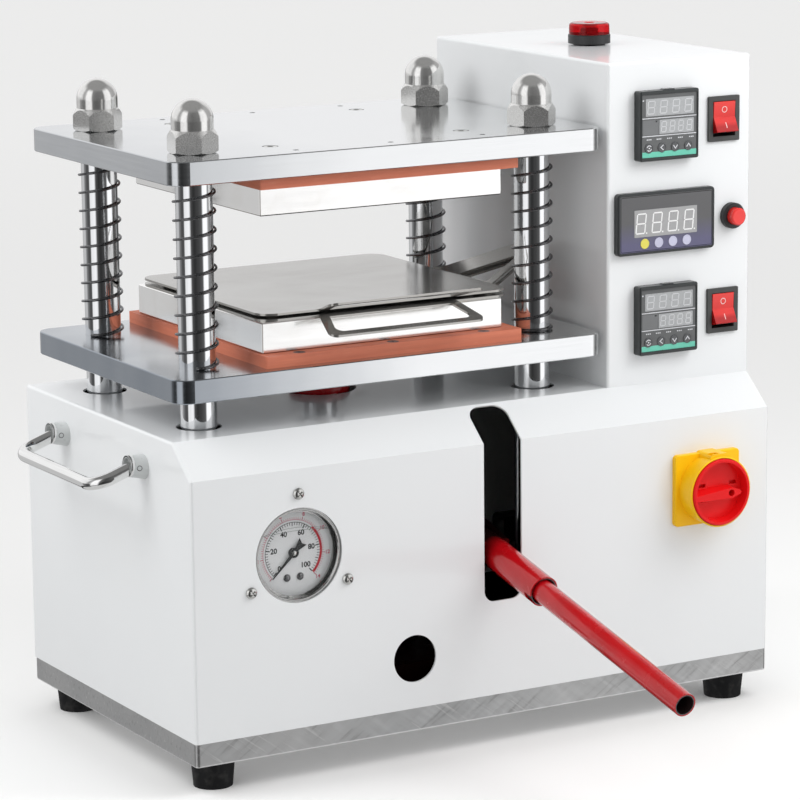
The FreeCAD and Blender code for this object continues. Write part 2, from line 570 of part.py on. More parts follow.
def insulation_board(x_middle, z, ledge_up):
    board = slab(x_middle, PRESS_Y, BOARD_W, BOARD_D, z, BOARD_T, 1.0)
    holes = [rod(6, BOARD_T + 2, (x, y, z - 1)) for x, y in CLAMP_SCREWS]
    face = z + BOARD_T if ledge_up else z
    way = Z_AXIS if ledge_up else V(0, 0, -1)
    for x, y in BOARD_SCREWS:
        holes += [rod(4, BOARD_T + 2, (x, y, z - 1)),
                  turned([(0, -2.2), (2, -2.2), (4.2, 0), (0, 0)], (x, y, face), way)]
    return cut(board, holes)


def cartridge_places(z, t):
    for i in (-1, 0, 1):
        yield HEATER_X + i * 58, z + t / 2


def heater_block(z, t, plate_side_top):
    """Polished block with three blind heater bores and four blind screw holes."""
    block = box(HEATER_X - HEATER_W / 2, HEATER_X + HEATER_W / 2,
                PRESS_Y - HEATER_D / 2, PRESS_Y + HEATER_D / 2, z, z + t)
    block = block.makeChamfer(0.8, block.Edges)
    back = PRESS_Y + HEATER_D / 2
    holes = [rod(CARTRIDGE_D, HEATER_D - 12, (x, back - HEATER_D + 12, cz), Y_AXIS)
             for x, cz in cartridge_places(z, t)]
    depth = 32 - PLATE_T + 8 - BOARD_T
    hole_z = z + t - depth if plate_side_top else z
    holes += [rod(6, depth, (x, y, hole_z)) for x, y in CLAMP_SCREWS]
    return cut(block, holes)


def cartridge_heaters(z, t):
    back = PRESS_Y + HEATER_D / 2
    length = HEATER_D - 12 + CARTRIDGE_OUT
    return Part.makeCompound([rod(CARTRIDGE_D, length, (x, back - HEATER_D + 12, cz), Y_AXIS)
                              for x, cz in cartridge_places(z, t)])


def plate_loop(z, lift):
    """Front handle: a flat bar loop that leaves the plate's edge and slopes up or down."""
    half, flare = LOOP_W / 2, LOOP_FLARE
    y0, y1 = TRAY_FRONT + 2, TRAY_FRONT - LOOP_OUT
    outline = [(-half, y0), (-half - flare, y1), (half + flare, y1), (half, y0)]
    root, end = TRAY_FRONT - LOOP_ROOT, y1 + LOOP_END
    side = LOOP_SIDE + 1
    inner = [(-half + LOOP_SIDE - 1, root), (-half - flare + side, end), (half + flare - side, end),
             (half - LOOP_SIDE + 1, root)]
    reach = abs(lift) + 12
    tall = prism([(TRAY_X + x, y, z - reach) for x, y in outline], V(0, 0, 2 * reach))
    tall = tall.makeFillet(5, [e for e in edges_along(tall, Z_AXIS) if e.Vertexes[0].Point.y < y1 + 0.1])
    hollow = prism([(TRAY_X + x, y, z - reach - 1) for x, y in inner], V(0, 0, 2 * reach + 2))
    near = [e for e in edges_along(hollow, Z_AXIS) if e.Vertexes[0].Point.y < end + 0.1]
    hollow = hollow.makeFillet(5, near)
    x0, x1 = TRAY_X - half - 30, TRAY_X + half + 30
    side = [(x0, y0, z), (x0, TRAY_FRONT, z), (x0, y1, z + lift),
            (x0, y1, z + lift + TRAY_T), (x0, TRAY_FRONT, z + TRAY_T), (x0, y0, z + TRAY_T)]
    sheet = prism(side, V(x1 - x0, 0, 0))
    return sheet.common(tall.cut(hollow))


def plate_ear(z):
    """Side handle: a strap loop folded up along the plate's edge, reaching out behind the column."""
    slope = radians(EAR_SLOPE)
    out = max(x for x, _ in EAR_OUTLINE) + 2
    rise = out * tan(slope)
    reach = rise + 12
    tall = prism([(TRAY_RIGHT + x - (2 if x == 0 else 0), y, z - reach) for x, y in EAR_OUTLINE],
                 V(0, 0, 2 * reach))
    outer = [e for e in edges_along(tall, Z_AXIS) if e.Vertexes[0].Point.x > TRAY_RIGHT + 35]
    tall = tall.makeFillet(6, outer)
    hollow = prism([(TRAY_RIGHT + x, y, z - reach - 1) for x, y in EAR_HOLE], V(0, 0, 2 * reach + 2))
    hollow = hollow.makeFillet(1.5, edges_along(hollow, Z_AXIS))
    x0, x1 = TRAY_RIGHT - 8, TRAY_RIGHT + out
    y0, y1 = EAR_OUTLINE[0][1] - 5, EAR_OUTLINE[-1][1] + 5
    inner_bend = TRAY_RIGHT - TRAY_T * tan(slope / 2)
    sheet = prism([(x0, y0, z), (TRAY_RIGHT, y0, z), (x1, y0, z + rise), (x1, y0, z + rise + TRAY_T / cos(slope)),
                   (inner_bend, y0, z + TRAY_T), (x0, y0, z + TRAY_T)], V(0, y1 - y0, 0))
    for x, r in ((inner_bend, EAR_BEND_R), (TRAY_RIGHT, EAR_BEND_R + TRAY_T)):
        bend = [e for e in edges_along(sheet, Y_AXIS) if abs(e.Vertexes[0].Point.x - x) < 0.01]
        sheet = sheet.makeFillet(r, bend)
    return sheet.common(tall.cut(hollow))


def tray(z, loop_lift, dimples):
    plate = slab(TRAY_X, PRESS_Y, TRAY_W, TRAY_D, z, TRAY_T, TRAY_R)
    pieces = [plate, plate_loop(z, loop_lift), plate_ear(z)]
    if dimples:
        for i in (-1, 1):
            for j in (-1, 1):
                x, y = TRAY_X + i * (TRAY_W / 2 - 16), PRESS_Y + j * (TRAY_D / 2 - 16)
                pieces.append(turned([(0, 0), (6, 0), (3.5, TRAY_GAP), (0, TRAY_GAP)], (x, y, z + TRAY_T)))
    return fuse(pieces)


def lower_tray():
    return tray(LOWER_TRAY_Z, -LOOP_DROP, True)


def upper_tray():
    return tray(UPPER_TRAY_Z, LOOP_LIFT, False)


# ---------------------------------------------------------------- bottle jack and pump
def jack_base():
    """Cast foot with the tank's seat, the pivot lug and the release-valve boss."""
    foot = slab((PRESS_X - 55 + 42) / 2, 106, 42 - PRESS_X + 55, 150, SHELL_Z, JACK_BASE_H, 10)
    top = edges_at(foot, Z_AXIS, JACK_BASE_TOP)
    foot = foot.makeFillet(3, top)
    lug = box(LEVER_X - LUG_W / 2, LEVER_X + LUG_W / 2, PIVOT_Y - 10, PIVOT_Y + 14, SHELL_Z + 8, PIVOT_Z)
    lug_eye = rod(20, LUG_W, (LEVER_X - LUG_W / 2, PIVOT_Y, PIVOT_Z), X_AXIS)
    boss = rod(28, 40, (VALVE_X, 62, VALVE_Z), Y_AXIS)
    web = box(VALVE_X - 14, VALVE_X + 14, 62, 102, SHELL_Z + 8, VALVE_Z)
    collar = rod(TANK_D + 10, 8, (PRESS_X, PRESS_Y, JACK_BASE_TOP - 2))
    seat = rod(TANK_D, 20, (PRESS_X, PRESS_Y, JACK_BASE_TOP))
    pin_hole = rod(PIVOT_PIN_D + 2 * RUN_FIT, 30, (LEVER_X - 15, PIVOT_Y, PIVOT_Z), X_AXIS)
    valve_hole = rod(VALVE_D + 2 * RUN_FIT, 32, (VALVE_X, 55, VALVE_Z), Y_AXIS)
    port = rod(PIPE_D, 12, (PRESS_X - 60, 106, SHELL_Z + JACK_BASE_H / 2), X_AXIS)
    return cut(fuse([foot, lug, lug_eye, boss, web, collar]), [seat, pin_hole, valve_hole, port])


def jack_cylinder():
    r, bore = TANK_D / 2, TANK_BORE_D / 2
    top = JACK_TOP - 24
    return turned([(bore, JACK_BASE_TOP), (r, JACK_BASE_TOP), (r, top - 1), (r - 1, top), (bore, top)],
                  (PRESS_X, PRESS_Y, 0))


def jack_cap():
    """Screwed head: a flange on the tank and a neck that guides the ram."""
    bore, neck, r = RAM_D / 2 + RUN_FIT, JACK_CAP_D / 2, TANK_D / 2
    seat = JACK_TOP - 24
    profile = [(bore, seat - 14), (TANK_BORE_D / 2, seat - 14), (TANK_BORE_D / 2, seat), (r, seat),
               (r, seat + 5), (r - 2, seat + 7), (neck, seat + 7), (neck, JACK_TOP - 2),
               (neck - 2, JACK_TOP), (bore, JACK_TOP)]
    return turned(profile, (PRESS_X, PRESS_Y, 0))


def jack_ram():
    r, pad = RAM_D / 2, RAM_PAD_D / 2
    low, seat = JACK_BASE_TOP + 12, LOWER_PLATE_Z - RAM_PAD_H
    profile = [(0, low), (r - 1, low), (r, low + 1), (r, seat), (pad - 1, seat), (pad, seat + 1),
               (pad, LOWER_PLATE_Z), (0, LOWER_PLATE_Z)]
    return turned(profile, (PRESS_X, PRESS_Y, 0))


def pump_barrel():
    bore, r = PLUNGER_D / 2 + RUN_FIT, BARREL_D / 2
    top = JACK_BASE_TOP + BARREL_H
    profile = [(0, JACK_BASE_TOP), (r, JACK_BASE_TOP), (r, top - 10), (r - 3, top - 8), (r - 3, top),
               (bore, top), (bore, JACK_BASE_TOP + 2), (0, JACK_BASE_TOP + 2)]
    return turned(profile, (LEVER_X, PLUNGER_Y, 0))


def pump_plunger():
    """Plunger with a crosshead whose level slot takes the lever's driving pin."""
    low = JACK_BASE_TOP + 3
    stem = rod(PLUNGER_D, PLUNGER_PIN_Z - 6 - low, (LEVER_X, PLUNGER_Y, low))
    head = box(LEVER_X - LUG_W / 2, LEVER_X + LUG_W / 2, PLUNGER_Y - 9.5, PLUNGER_Y + 9.5,
               PLUNGER_PIN_Z - 8.5, PLUNGER_PIN_Z + 8.5)
    head = head.makeFillet(3, edges_along(head, X_AXIS))
    half = 2.6
    slot_h = PLUNGER_PIN_D + 1.2
    slot_ends = [rod(slot_h, 40, (LEVER_X - 20, PLUNGER_Y + s * half, PLUNGER_PIN_Z), X_AXIS) for s in (-1, 1)]
    slot = fuse([box(LEVER_X - 20, LEVER_X + 20, PLUNGER_Y - half, PLUNGER_Y + half,
                     PLUNGER_PIN_Z - slot_h / 2, PLUNGER_PIN_Z + slot_h / 2)] + slot_ends)
    return fuse([stem, head]).cut(slot)


def lever_frame(shape):
    """Turn a piece drawn along -Y from the pivot down to the lever's resting slope."""
    shape.rotate(V(0, 0, 0), X_AXIS, LEVER_REST)
    shape.translate(V(LEVER_X, PIVOT_Y, PIVOT_Z))
    return shape


def driving_pin_place():
    """Driving pin in the lever's own frame, where the lever lies along -Y."""
    turn = radians(PLUNGER_LOW - LEVER_REST)
    return -PLUNGER_ARM * cos(turn), -PLUNGER_ARM * sin(turn)


def lever_socket():
    """Welded fork and socket: two cheeks on the pins, and a tube for the loose lever."""
    pin_y, pin_z = driving_pin_place()
    outer = CHEEK_GAP / 2 + CHEEK_T
    cheeks = []
    for x0 in (-outer, CHEEK_GAP / 2):
        eye = rod(22, CHEEK_T, (x0, 0, 0), X_AXIS)
        pin_eye = rod(19, CHEEK_T, (x0, pin_y, pin_z), X_AXIS)
        blade = prism([(x0, 1, 11), (x0, -SOCKET_START - 16, 8), (x0, -SOCKET_START - 16, -8),
                       (x0, pin_y - 4, pin_z - 9), (x0, pin_y + 4, pin_z - 9), (x0, 3, -10.5)],
                      V(CHEEK_T, 0, 0))
        cheeks += [eye, pin_eye, blade]
    length = SOCKET_END - SOCKET_START
    tube = rod(SOCKET_D, length, (0, -SOCKET_START, 0), V(0, -1, 0))
    bore = rod(SOCKET_BORE_D, length - 10, (0, -SOCKET_START - 10, 0), V(0, -1, 0))
    mouth = rod(SOCKET_MOUTH_D, SOCKET_MOUTH_L, (0, -SOCKET_END + SOCKET_MOUTH_L, 0), V(0, -1, 0))
    notch = box(-16, -4, -SOCKET_END - 1, -SOCKET_END + 8, -7.5, -2)
    pins = [rod(PIVOT_PIN_D, 60, (-30, 0, 0), X_AXIS), rod(PLUNGER_PIN_D, 60, (-30, pin_y, pin_z), X_AXIS)]
    body = cut(fuse(cheeks + [tube]), pins + [bore, mouth, notch])
    return lever_frame(body)


def lever_tube():
    length = TUBE_END - TUBE_START
    tube = rod(TUBE_D, length, (0, -TUBE_START, 0), V(0, -1, 0))
    bore = rod(TUBE_BORE_D, length + 2, (0, -TUBE_START + 1, 0), V(0, -1, 0))
    return lever_frame(tube.cut(bore))


def lever_pins():
    """Pivot pin and driving pin, both fast in the fork's cheeks."""
    pin_y, pin_z = driving_pin_place()
    pins = [rod(PIVOT_PIN_D, PIN_L, (-PIN_L / 2, 0, 0), X_AXIS),
            rod(PLUNGER_PIN_D, PIN_L, (-PIN_L / 2, pin_y, pin_z), X_AXIS)]
    return Part.makeCompound([lever_frame(pin) for pin in pins])


def release_valve():
    """Valve spindle with a notched head that takes the lever's end as a key."""
    y = VALVE_FRONT_Y
    stem = rod(VALVE_D, 44, (VALVE_X, y, VALVE_Z), Y_AXIS)
    head = rod(VALVE_HEAD_D, 12, (VALVE_X, y, VALVE_Z), Y_AXIS)
    notch = box(VALVE_X - 2.5, VALVE_X + 2.5, y - 1, y + 6, VALVE_Z - 12, VALVE_Z + 12)
    return fuse([stem, head]).cut(notch)


# ---------------------------------------------------------------- pressure gauge
def gauge_case():
    """Flanged case behind the panel, with a rolled rim and a rear connection."""
    r = GAUGE_D / 2
    back = GAUGE_DEPTH
    profile = [(0, back), (0, back - 1.5), (r - 1.5, back - 1.5), (r - 1.5, GLASS_Y + GLASS_T + 1),
               (DIAL_D / 2 - 1, GLASS_Y + GLASS_T + 1), (DIAL_D / 2 - 1, GLASS_Y + GLASS_T),
               (r - 1.5, GLASS_Y + GLASS_T), (r - 1.5, GLASS_Y), (r - 1.5, 1.8), (r - 1, 1), (r - 0.4, 1),
               (r, 1.4), (r, SHEET), (r + 16, SHEET), (r + 16, SHEET + 1.5), (r, SHEET + 1.5), (r, back)]
    case = turned(profile, (0, 0, 0))
    stem = fuse([rod(14, 10, (0, 0, back)), rod(PIPE_D + 4, 15, (0, 0, back))])
    shaft = rod(4, back - 8, (0, 0, 8.2)).common(rod(3, back, (0, 0, DIAL_Y + 1)))
    case = fuse([case, stem, shaft])
    case.Placement = FreeCAD.Placement(V(GAUGE_X, 0, GAUGE_Z), FreeCAD.Rotation(Z_AXIS, Y_AXIS))
    pipe = rod(PIPE_D, 12, (GAUGE_X, back + 8, GAUGE_Z), Y_AXIS)
    holes = [rod(PAN_SHANK_D, 20, (x, -5, z), Y_AXIS) for x, z in gauge_screw_places()]
    return cut(case, holes + [pipe])


def gauge_dial():
    dial = rod(GAUGE_D - 3, 1, (GAUGE_X, DIAL_Y, GAUGE_Z), Y_AXIS)
    return dial.cut(rod(3.4, 3, (GAUGE_X, DIAL_Y - 1, GAUGE_Z), Y_AXIS))


def gauge_glass():
    return rod(GAUGE_D - 3, GLASS_T, (GAUGE_X, GLASS_Y, GAUGE_Z), Y_AXIS)


def gauge_needle():
    """Pointer with a broad tail, on a short hub over the movement's shaft."""
    y = DIAL_Y - 2.2
    tip, tail = 23.0, 10.0
    blade = prism([(-tail, y, -3.6), (-tail + 1.5, y, 0), (-tail, y, 3.6), (-4, y, 1.6), (0, y, 1.2),
                   (tip, y, 0.25), (tip, y, -0.25), (0, y, -1.2), (-4, y, -1.6)], V(0, 0.6, 0))
    hub = rod(6.6, 2.6, (0, y - 0.6, 0), Y_AXIS)
    pin = rod(2.8, 2.8, (0, y, 0), Y_AXIS)
    needle = fuse([blade, hub, pin])
    needle.rotate(V(0, 0, 0), Y_AXIS, -NEEDLE_REST)
    needle.translate(V(GAUGE_X, 0, GAUGE_Z))
    return needle


def gauge_pipe():
    """Steel pressure pipe from the back of the gauge to the jack's foot."""
    end_x, end_y, end_z = PRESS_X - 50, 106, SHELL_Z + JACK_BASE_H / 2
    start_y = GAUGE_DEPTH + 10
    points = [(GAUGE_X, start_y, GAUGE_Z), (GAUGE_X, end_y, GAUGE_Z), (GAUGE_X, end_y, end_z),
              (end_x, end_y, end_z)]
    return swept(points, PIPE_D, 18)


# ---------------------------------------------------------------- handles
def handle(side):
    """Bent round bar whose two legs slope down from the wall."""
    wall = side * HOUSING_W / 2
    y0, y1 = HANDLE_Y - HANDLE_PITCH / 2, HANDLE_Y + HANDLE_PITCH / 2
    start_x, grip_x = wall + side * 2, wall + side * HANDLE_OUT
    grip_z = HANDLE_Z - HANDLE_DROP
    points = [(start_x, y0, HANDLE_Z), (grip_x, y0, grip_z), (grip_x, y1, grip_z), (start_x, y1, HANDLE_Z)]
    return swept(points, HANDLE_D, HANDLE_BEND_R)


def handle_ferrules():
    """Tapered ferrules with a cupped mouth on the cabinet's sides, for the ends of both handles."""
    ferrules = []
    for side in (-1, 1):
        wall = side * HOUSING_W / 2
        out = V(side, 0, 0)
        for s in (-1, 1):
            y = HANDLE_Y + s * HANDLE_PITCH / 2
            root = V(wall, y, FERRULE_Z)
            mouth = root + V(side * FERRULE_L, 0, FERRULE_RISE)
            ends = ((FERRULE_D, root), (FERRULE_TIP_D, mouth))
            rings = [Part.Wire(Part.makeCircle(d / 2, at, out)) for d, at in ends]
            cone = Part.makeLoft(rings, True, True)
            cup = rod(FERRULE_TIP_D - 3, 4, mouth - out * 3, out)
            bolt = rod(6, 14, root - out * 12, out)
            ferrules.append(cut(fuse([cone, bolt]), [cup, handle(side)]))
    return Part.makeCompound(ferrules)


# ---------------------------------------------------------------- switches and instruments
def main_switch_base():
    """Yellow plate with a round collar and a padlock boss, and the bush through the panel."""
    plate = panel(SWITCH_X, SWITCH_Z, SWITCH_PLATE_W, SWITCH_PLATE_H, -SWITCH_PLATE_T, 0, SWITCH_PLATE_R)
    plate = plate.makeFillet(0.8, edges_at(plate, Y_AXIS, -SWITCH_PLATE_T))
    collar = turned([(0, 0), (COLLAR_ROOT_D / 2, 0), (COLLAR_D / 2, COLLAR_END - 0.6),
                     (COLLAR_D / 2 - 0.6, COLLAR_END), (0, COLLAR_END)], (SWITCH_X, 0, SWITCH_Z), V(0, -1, 0))
    boss = box(SWITCH_X - 7.5, SWITCH_X + 9, -18.5, 0, SWITCH_Z, SWITCH_Z + COLLAR_D / 2 + 1.8)
    boss = boss.makeFillet(3, edges_along(boss, Y_AXIS))
    well = rod(KNOB_D + 0.8, COLLAR_END, (SWITCH_X, -6, SWITCH_Z), V(0, -1, 0))
    bush = rod(22, 30, (SWITCH_X, 0, SWITCH_Z), Y_AXIS)
    body = panel(SWITCH_X, SWITCH_Z, 44, 44, SHEET, 46, 2)
    shaft_hole = rod(8 + 2 * RUN_FIT, 30, (SWITCH_X, -12, SWITCH_Z), Y_AXIS)
    lock_slot = box(SWITCH_X - 6.5, SWITCH_X + 0.5, -17.5, -12.5, SWITCH_Z + 20, SWITCH_Z + 40)
    return cut(fuse([plate, collar, boss, bush, body]), [well, shaft_hole, lock_slot])


def grip_outline(left_half, right_half, y):
    """Outline of the switch grip at one depth: a bar that widens towards its pointed right end."""
    x0, x1 = SWITCH_X - KNOB_D / 2 + KNOB_RIM - 0.8, SWITCH_X + KNOB_D / 2 - KNOB_RIM - 4.5
    z = SWITCH_Z - GRIP_LOW
    left = z - GRIP_SLANT
    points = [V(x, y, level) for x, level in (
        (x0, left - left_half), (x1 - 8, z - right_half), (x1 - 1, z - 1.5), (x1, z),
        (x1 - 1, z + 1.5), (x1 - 8, z + right_half), (x0, left + left_half))]
    return Part.makePolygon(points + points[:1])


def main_switch_knob():
    """Red cup with a raised grip bar that points to the right at rest."""
    cup = turned([(0, 7), (KNOB_D / 2, 7), (KNOB_D / 2, KNOB_END - 0.8), (KNOB_D / 2 - 0.8, KNOB_END),
                  (KNOB_D / 2 - KNOB_RIM, KNOB_END), (KNOB_D / 2 - KNOB_RIM - 1, KNOB_FLOOR), (0, KNOB_FLOOR)],
                 (SWITCH_X, 0, SWITCH_Z), V(0, -1, 0))
    grip = Part.makeLoft([grip_outline(GRIP_ROOT_W / 2, GRIP_ROOT_W / 2, -KNOB_FLOOR + 0.5),
                          grip_outline(GRIP_FACE_W / 4, GRIP_FACE_W / 2, -KNOB_END + 0.8)], True, True)
    grip = grip.common(rod(KNOB_D - 1, 30, (SWITCH_X, 0, SWITCH_Z), V(0, -1, 0)))
    hole = rod(5.0, 9, (SWITCH_X + 8.5, -KNOB_END + 8, SWITCH_Z - GRIP_LOW), V(0, -1, 0))
    pockets = [box(SWITCH_X + x - 3, SWITCH_X + x + 3, -KNOB_FLOOR - 1, -KNOB_FLOOR + 3,
                   SWITCH_Z + 3.2, SWITCH_Z + 5.8) for x in (-12, 14)]
    stem = rod(8, 22, (SWITCH_X, -8, SWITCH_Z), Y_AXIS)
    return cut(fuse([cup, grip, stem]), [hole] + pockets)


def instrument(cx, cz, w, h, proud, body_w, body_h, depth, rim_x, rim_z, recess, r):
    """Panel instrument: a bezel on the panel with a sunk face, and a case behind."""
    y = TOWER_FRONT
    bezel = panel(cx, cz, w, h, y - proud, y, r)
    front = edges_at(bezel, Y_AXIS, y - proud)
    bezel = bezel.makeFillet(1.0, front)
    window = panel(cx, cz, w - 2 * rim_x, h - 2 * rim_z, y - proud - 1, y - proud + recess, 1.0)
    case = panel(cx, cz, body_w - 0.4, body_h - 0.4, y - 1, y + depth, 0)
    return fuse([bezel.cut(window), case.cut(box(cx - w, cx + w, y - 9, y, cz - h, cz + h))])


def controller(cz):
    body = instrument(DEVICE_X, cz, CONTROLLER, CONTROLLER, CONTROLLER_PROUD, CONTROLLER_BODY,
                      CONTROLLER_BODY, CONTROLLER_DEPTH, 1.4, 2.4, 1.0, 1.6)
    y = TOWER_FRONT - CONTROLLER_PROUD
    top = cz + CONTROLLER / 2
    catch = prism([(DEVICE_X - 6, y + 1.5, top - 0.4), (DEVICE_X - 4, y + 1.5, top + 0.7),
                   (DEVICE_X + 4, y + 1.5, top + 0.7), (DEVICE_X + 6, y + 1.5, top - 0.4)], V(0, 4, 0))
    return fuse([body, catch])


def power_meter():
    return instrument(METER_X, METER_Z, METER_W, METER_H, METER_PROUD, METER_BODY_W, METER_BODY_H,
                      METER_DEPTH, 1.9, 1.9, 0.5, 3.0)


def rocker_bezel(cz):
    y = TOWER_FRONT
    rim = panel(ROCKER_X, cz, ROCKER_W, ROCKER_H, y - ROCKER_PROUD, y, 0.8)
    body = panel(ROCKER_X, cz, ROCKER_W - 4, ROCKER_H - 4, y - 0.5, y + ROCKER_DEPTH, 0)
    well = panel(ROCKER_X, cz, ROCKER_KEY_W + 1, ROCKER_KEY_H + 1, y - 9, y + 10, 0)
    at = (ROCKER_X - ROCKER_W / 2, y + ROCKER_PIVOT_IN, cz)
    eyes = rod(ROCKER_PIVOT_D + 2 * RUN_FIT, ROCKER_W, at, X_AXIS)
    return cut(fuse([rim, body]), [well, eyes])


def rocker_bezels():
    return Part.makeCompound([rocker_bezel(z) for z in (UPPER_ROCKER_Z, LOWER_ROCKER_Z)])


def rocker(cz):
    """Rocker key with a bent face on two stub pivots; its lower end stands proud while it is off."""
    y, w, h = TOWER_FRONT, ROCKER_KEY_W, ROCKER_KEY_H
    x0 = ROCKER_X - w / 2
    pivot_y = y + ROCKER_PIVOT_IN
    out = 6.5
    drop = (h / 2) * tan(radians(ROCKER_TILT))
    side = [(x0, pivot_y - 4 - out + drop, cz - h / 2 + 1.2), (x0, pivot_y - 5.2, cz),
            (x0, pivot_y - 4 - out + drop, cz + h / 2 - 1.2), (x0, pivot_y - 1, cz + h / 2 - 1.2),
            (x0, pivot_y + 4.5, cz + 4), (x0, pivot_y + 4.5, cz - 4), (x0, pivot_y - 1, cz - h / 2 + 1.2)]
    key = prism(side, V(w, 0, 0))
    key = key.makeFillet(0.6, [e for e in edges_along(key, X_AXIS) if e.Vertexes[0].Point.y < pivot_y - 3])
    key.rotate(V(ROCKER_X, pivot_y, cz), X_AXIS, -ROCKER_TILT)
    return fuse([key, rod(ROCKER_PIVOT_D, w + 3.4, (x0 - 1.7, pivot_y, cz), X_AXIS)])


def button_bezel():
    y, r = TOWER_FRONT, BUTTON_BEZEL_D / 2
    profile = [(BUTTON_CAP_D / 2 + 0.3, 0), (r, 0), (r, BUTTON_BEZEL_PROUD - 1),
               (r - 1, BUTTON_BEZEL_PROUD), (BUTTON_CAP_D / 2 + 0.3, BUTTON_BEZEL_PROUD)]
    ring = turned(profile, (BUTTON_X, y, BUTTON_Z), V(0, -1, 0))
    sleeve = rod(12, BUTTON_DEPTH, (BUTTON_X, y, BUTTON_Z), Y_AXIS)
    floor = rod(BUTTON_BEZEL_D - 1, 1, (BUTTON_X, y - 1, BUTTON_Z), Y_AXIS)
    hole = rod(BUTTON_STEM_D + 2 * RUN_FIT, BUTTON_DEPTH + 2, (BUTTON_X, y - 3, BUTTON_Z), Y_AXIS)
    return fuse([ring, floor, sleeve]).cut(hole)


def push_button():
    y, r = TOWER_FRONT, BUTTON_CAP_D / 2
    cap = turned([(0, 4.5), (r, 4.5), (r, BUTTON_PROUD - 1), (r - 1, BUTTON_PROUD), (0, BUTTON_PROUD)],
                 (BUTTON_X, y, BUTTON_Z), V(0, -1, 0))
    stem = rod(BUTTON_STEM_D, 18, (BUTTON_X, y - 5, BUTTON_Z), Y_AXIS)
    return fuse([cap, stem])


def buzzer_base():
    r, foot, z = BUZZER_D / 2, BUZZER_FOOT_D / 2, TOWER_TOP
    profile = [(0, 0), (foot, 0), (foot, BUZZER_FOOT_H), (r, BUZZER_FOOT_H), (r, BUZZER_BASE_H - 0.6),
               (r - 0.6, BUZZER_BASE_H), (0, BUZZER_BASE_H)]
    return fuse([turned(profile, (BUZZER_X, BUZZER_Y, z)), rod(10, 14, (BUZZER_X, BUZZER_Y, z - 13))])


def buzzer_lens():
    r, z = BUZZER_D / 2 - 0.6, TOWER_TOP + BUZZER_BASE_H
    h = BUZZER_LENS_H
    profile = [(0, 0), (r, 0), (r - 0.2, h - 1.5), (r - 0.8, h - 0.5), (r - 1.9, h), (4, h), (3, h - 0.6),
               (0, h - 0.6)]
    return turned(profile, (BUZZER_X, BUZZER_Y, z))


# ---------------------------------------------------------------- output
def build_all():
    nodes = {
        "base_plate": base_plate(), "rubber_feet": rubber_feet(), "base_screws": base_screws(),
        "cabinet": cabinet(), "control_tower": control_tower(),
        "cabinet_rear_cover": cabinet_rear_cover(), "tower_rear_cover": tower_rear_cover(),
        "panel_screws": panel_screws(), "power_inlet": power_inlet(),
        "cap_nuts": cap_nuts(), "top_plate": top_plate(), "moving_plate": moving_plate(),
        "upper_platen_screws": upper_platen_screws(), "lower_platen_screws": lower_platen_screws(),
        "upper_insulation_board": insulation_board(UPPER_BOARD_X, UPPER_PLATE_Z - BOARD_T, False),
        "lower_insulation_board": insulation_board(LOWER_BOARD_X, LOWER_PLATE_TOP, True),
        "upper_heater_block": heater_block(UPPER_HEATER_Z, UPPER_HEATER_T, True),
        "lower_heater_block": heater_block(LOWER_HEATER_Z, LOWER_HEATER_T, False),
        "upper_cartridge_heaters": cartridge_heaters(UPPER_HEATER_Z, UPPER_HEATER_T),
        "lower_cartridge_heaters": cartridge_heaters(LOWER_HEATER_Z, LOWER_HEATER_T),
        "lower_tray": lower_tray(), "upper_tray": upper_tray(),
        "jack_base": jack_base(), "jack_cylinder": jack_cylinder(), "jack_cap": jack_cap(),
        "jack_ram": jack_ram(), "pump_barrel": pump_barrel(), "pump_plunger": pump_plunger(),
        "lever_socket": lever_socket(), "lever_tube": lever_tube(), "lever_pins": lever_pins(),
        "release_valve": release_valve(),
        "gauge_case": gauge_case(), "gauge_dial": gauge_dial(), "gauge_glass": gauge_glass(),
        "gauge_needle": gauge_needle(), "gauge_pipe": gauge_pipe(),
        "handle_left": handle(-1), "handle_right": handle(1), "handle_ferrules": handle_ferrules(),
        "main_switch_base": main_switch_base(), "main_switch_knob": main_switch_knob(),
        "controller_upper": controller(UPPER_CONTROLLER_Z),
        "controller_lower": controller(LOWER_CONTROLLER_Z), "power_meter": power_meter(),
        "rocker_bezels": rocker_bezels(), "rocker_upper": rocker(UPPER_ROCKER_Z),
        "rocker_lower": rocker(LOWER_ROCKER_Z), "button_bezel": button_bezel(),
        "push_button": push_button(), "buzzer_base": buzzer_base(), "buzzer_lens": buzzer_lens(),
    }
    for (name, x, y), turns, flat, start in zip(COLUMNS, SPRING_TURNS, SPRING_FLAT, SPRING_START):
        nodes["column_" + name] = column(x, y)
        nodes["spring_" + name] = spring(x, y, turns, flat, start)
    return nodes


def save(name, shape):
    """Move a node to the row's origin and write it."""
    placed = shape.copy()
    placed.translate(V(0, -MIDDLE_Y, 0))
    placed.exportStep(os.path.join("parts", name + ".step"))
    return placed.BoundBox


os.makedirs("parts", exist_ok=True)
whole = FreeCAD.BoundBox()
for node, solid in build_all().items():
    whole.add(save(node, solid))
print("nodes written, box", [round(v, 2) for v in (whole.XMin, whole.XMax, whole.YMin, whole.YMax,
                                                   whole.ZMin, whole.ZMax)])
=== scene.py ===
import json
from math import cos, hypot, pi, radians, sin

import bpy
import bmesh
from mathutils import Matrix, Vector
from mathutils.bvhtree import BVHTree


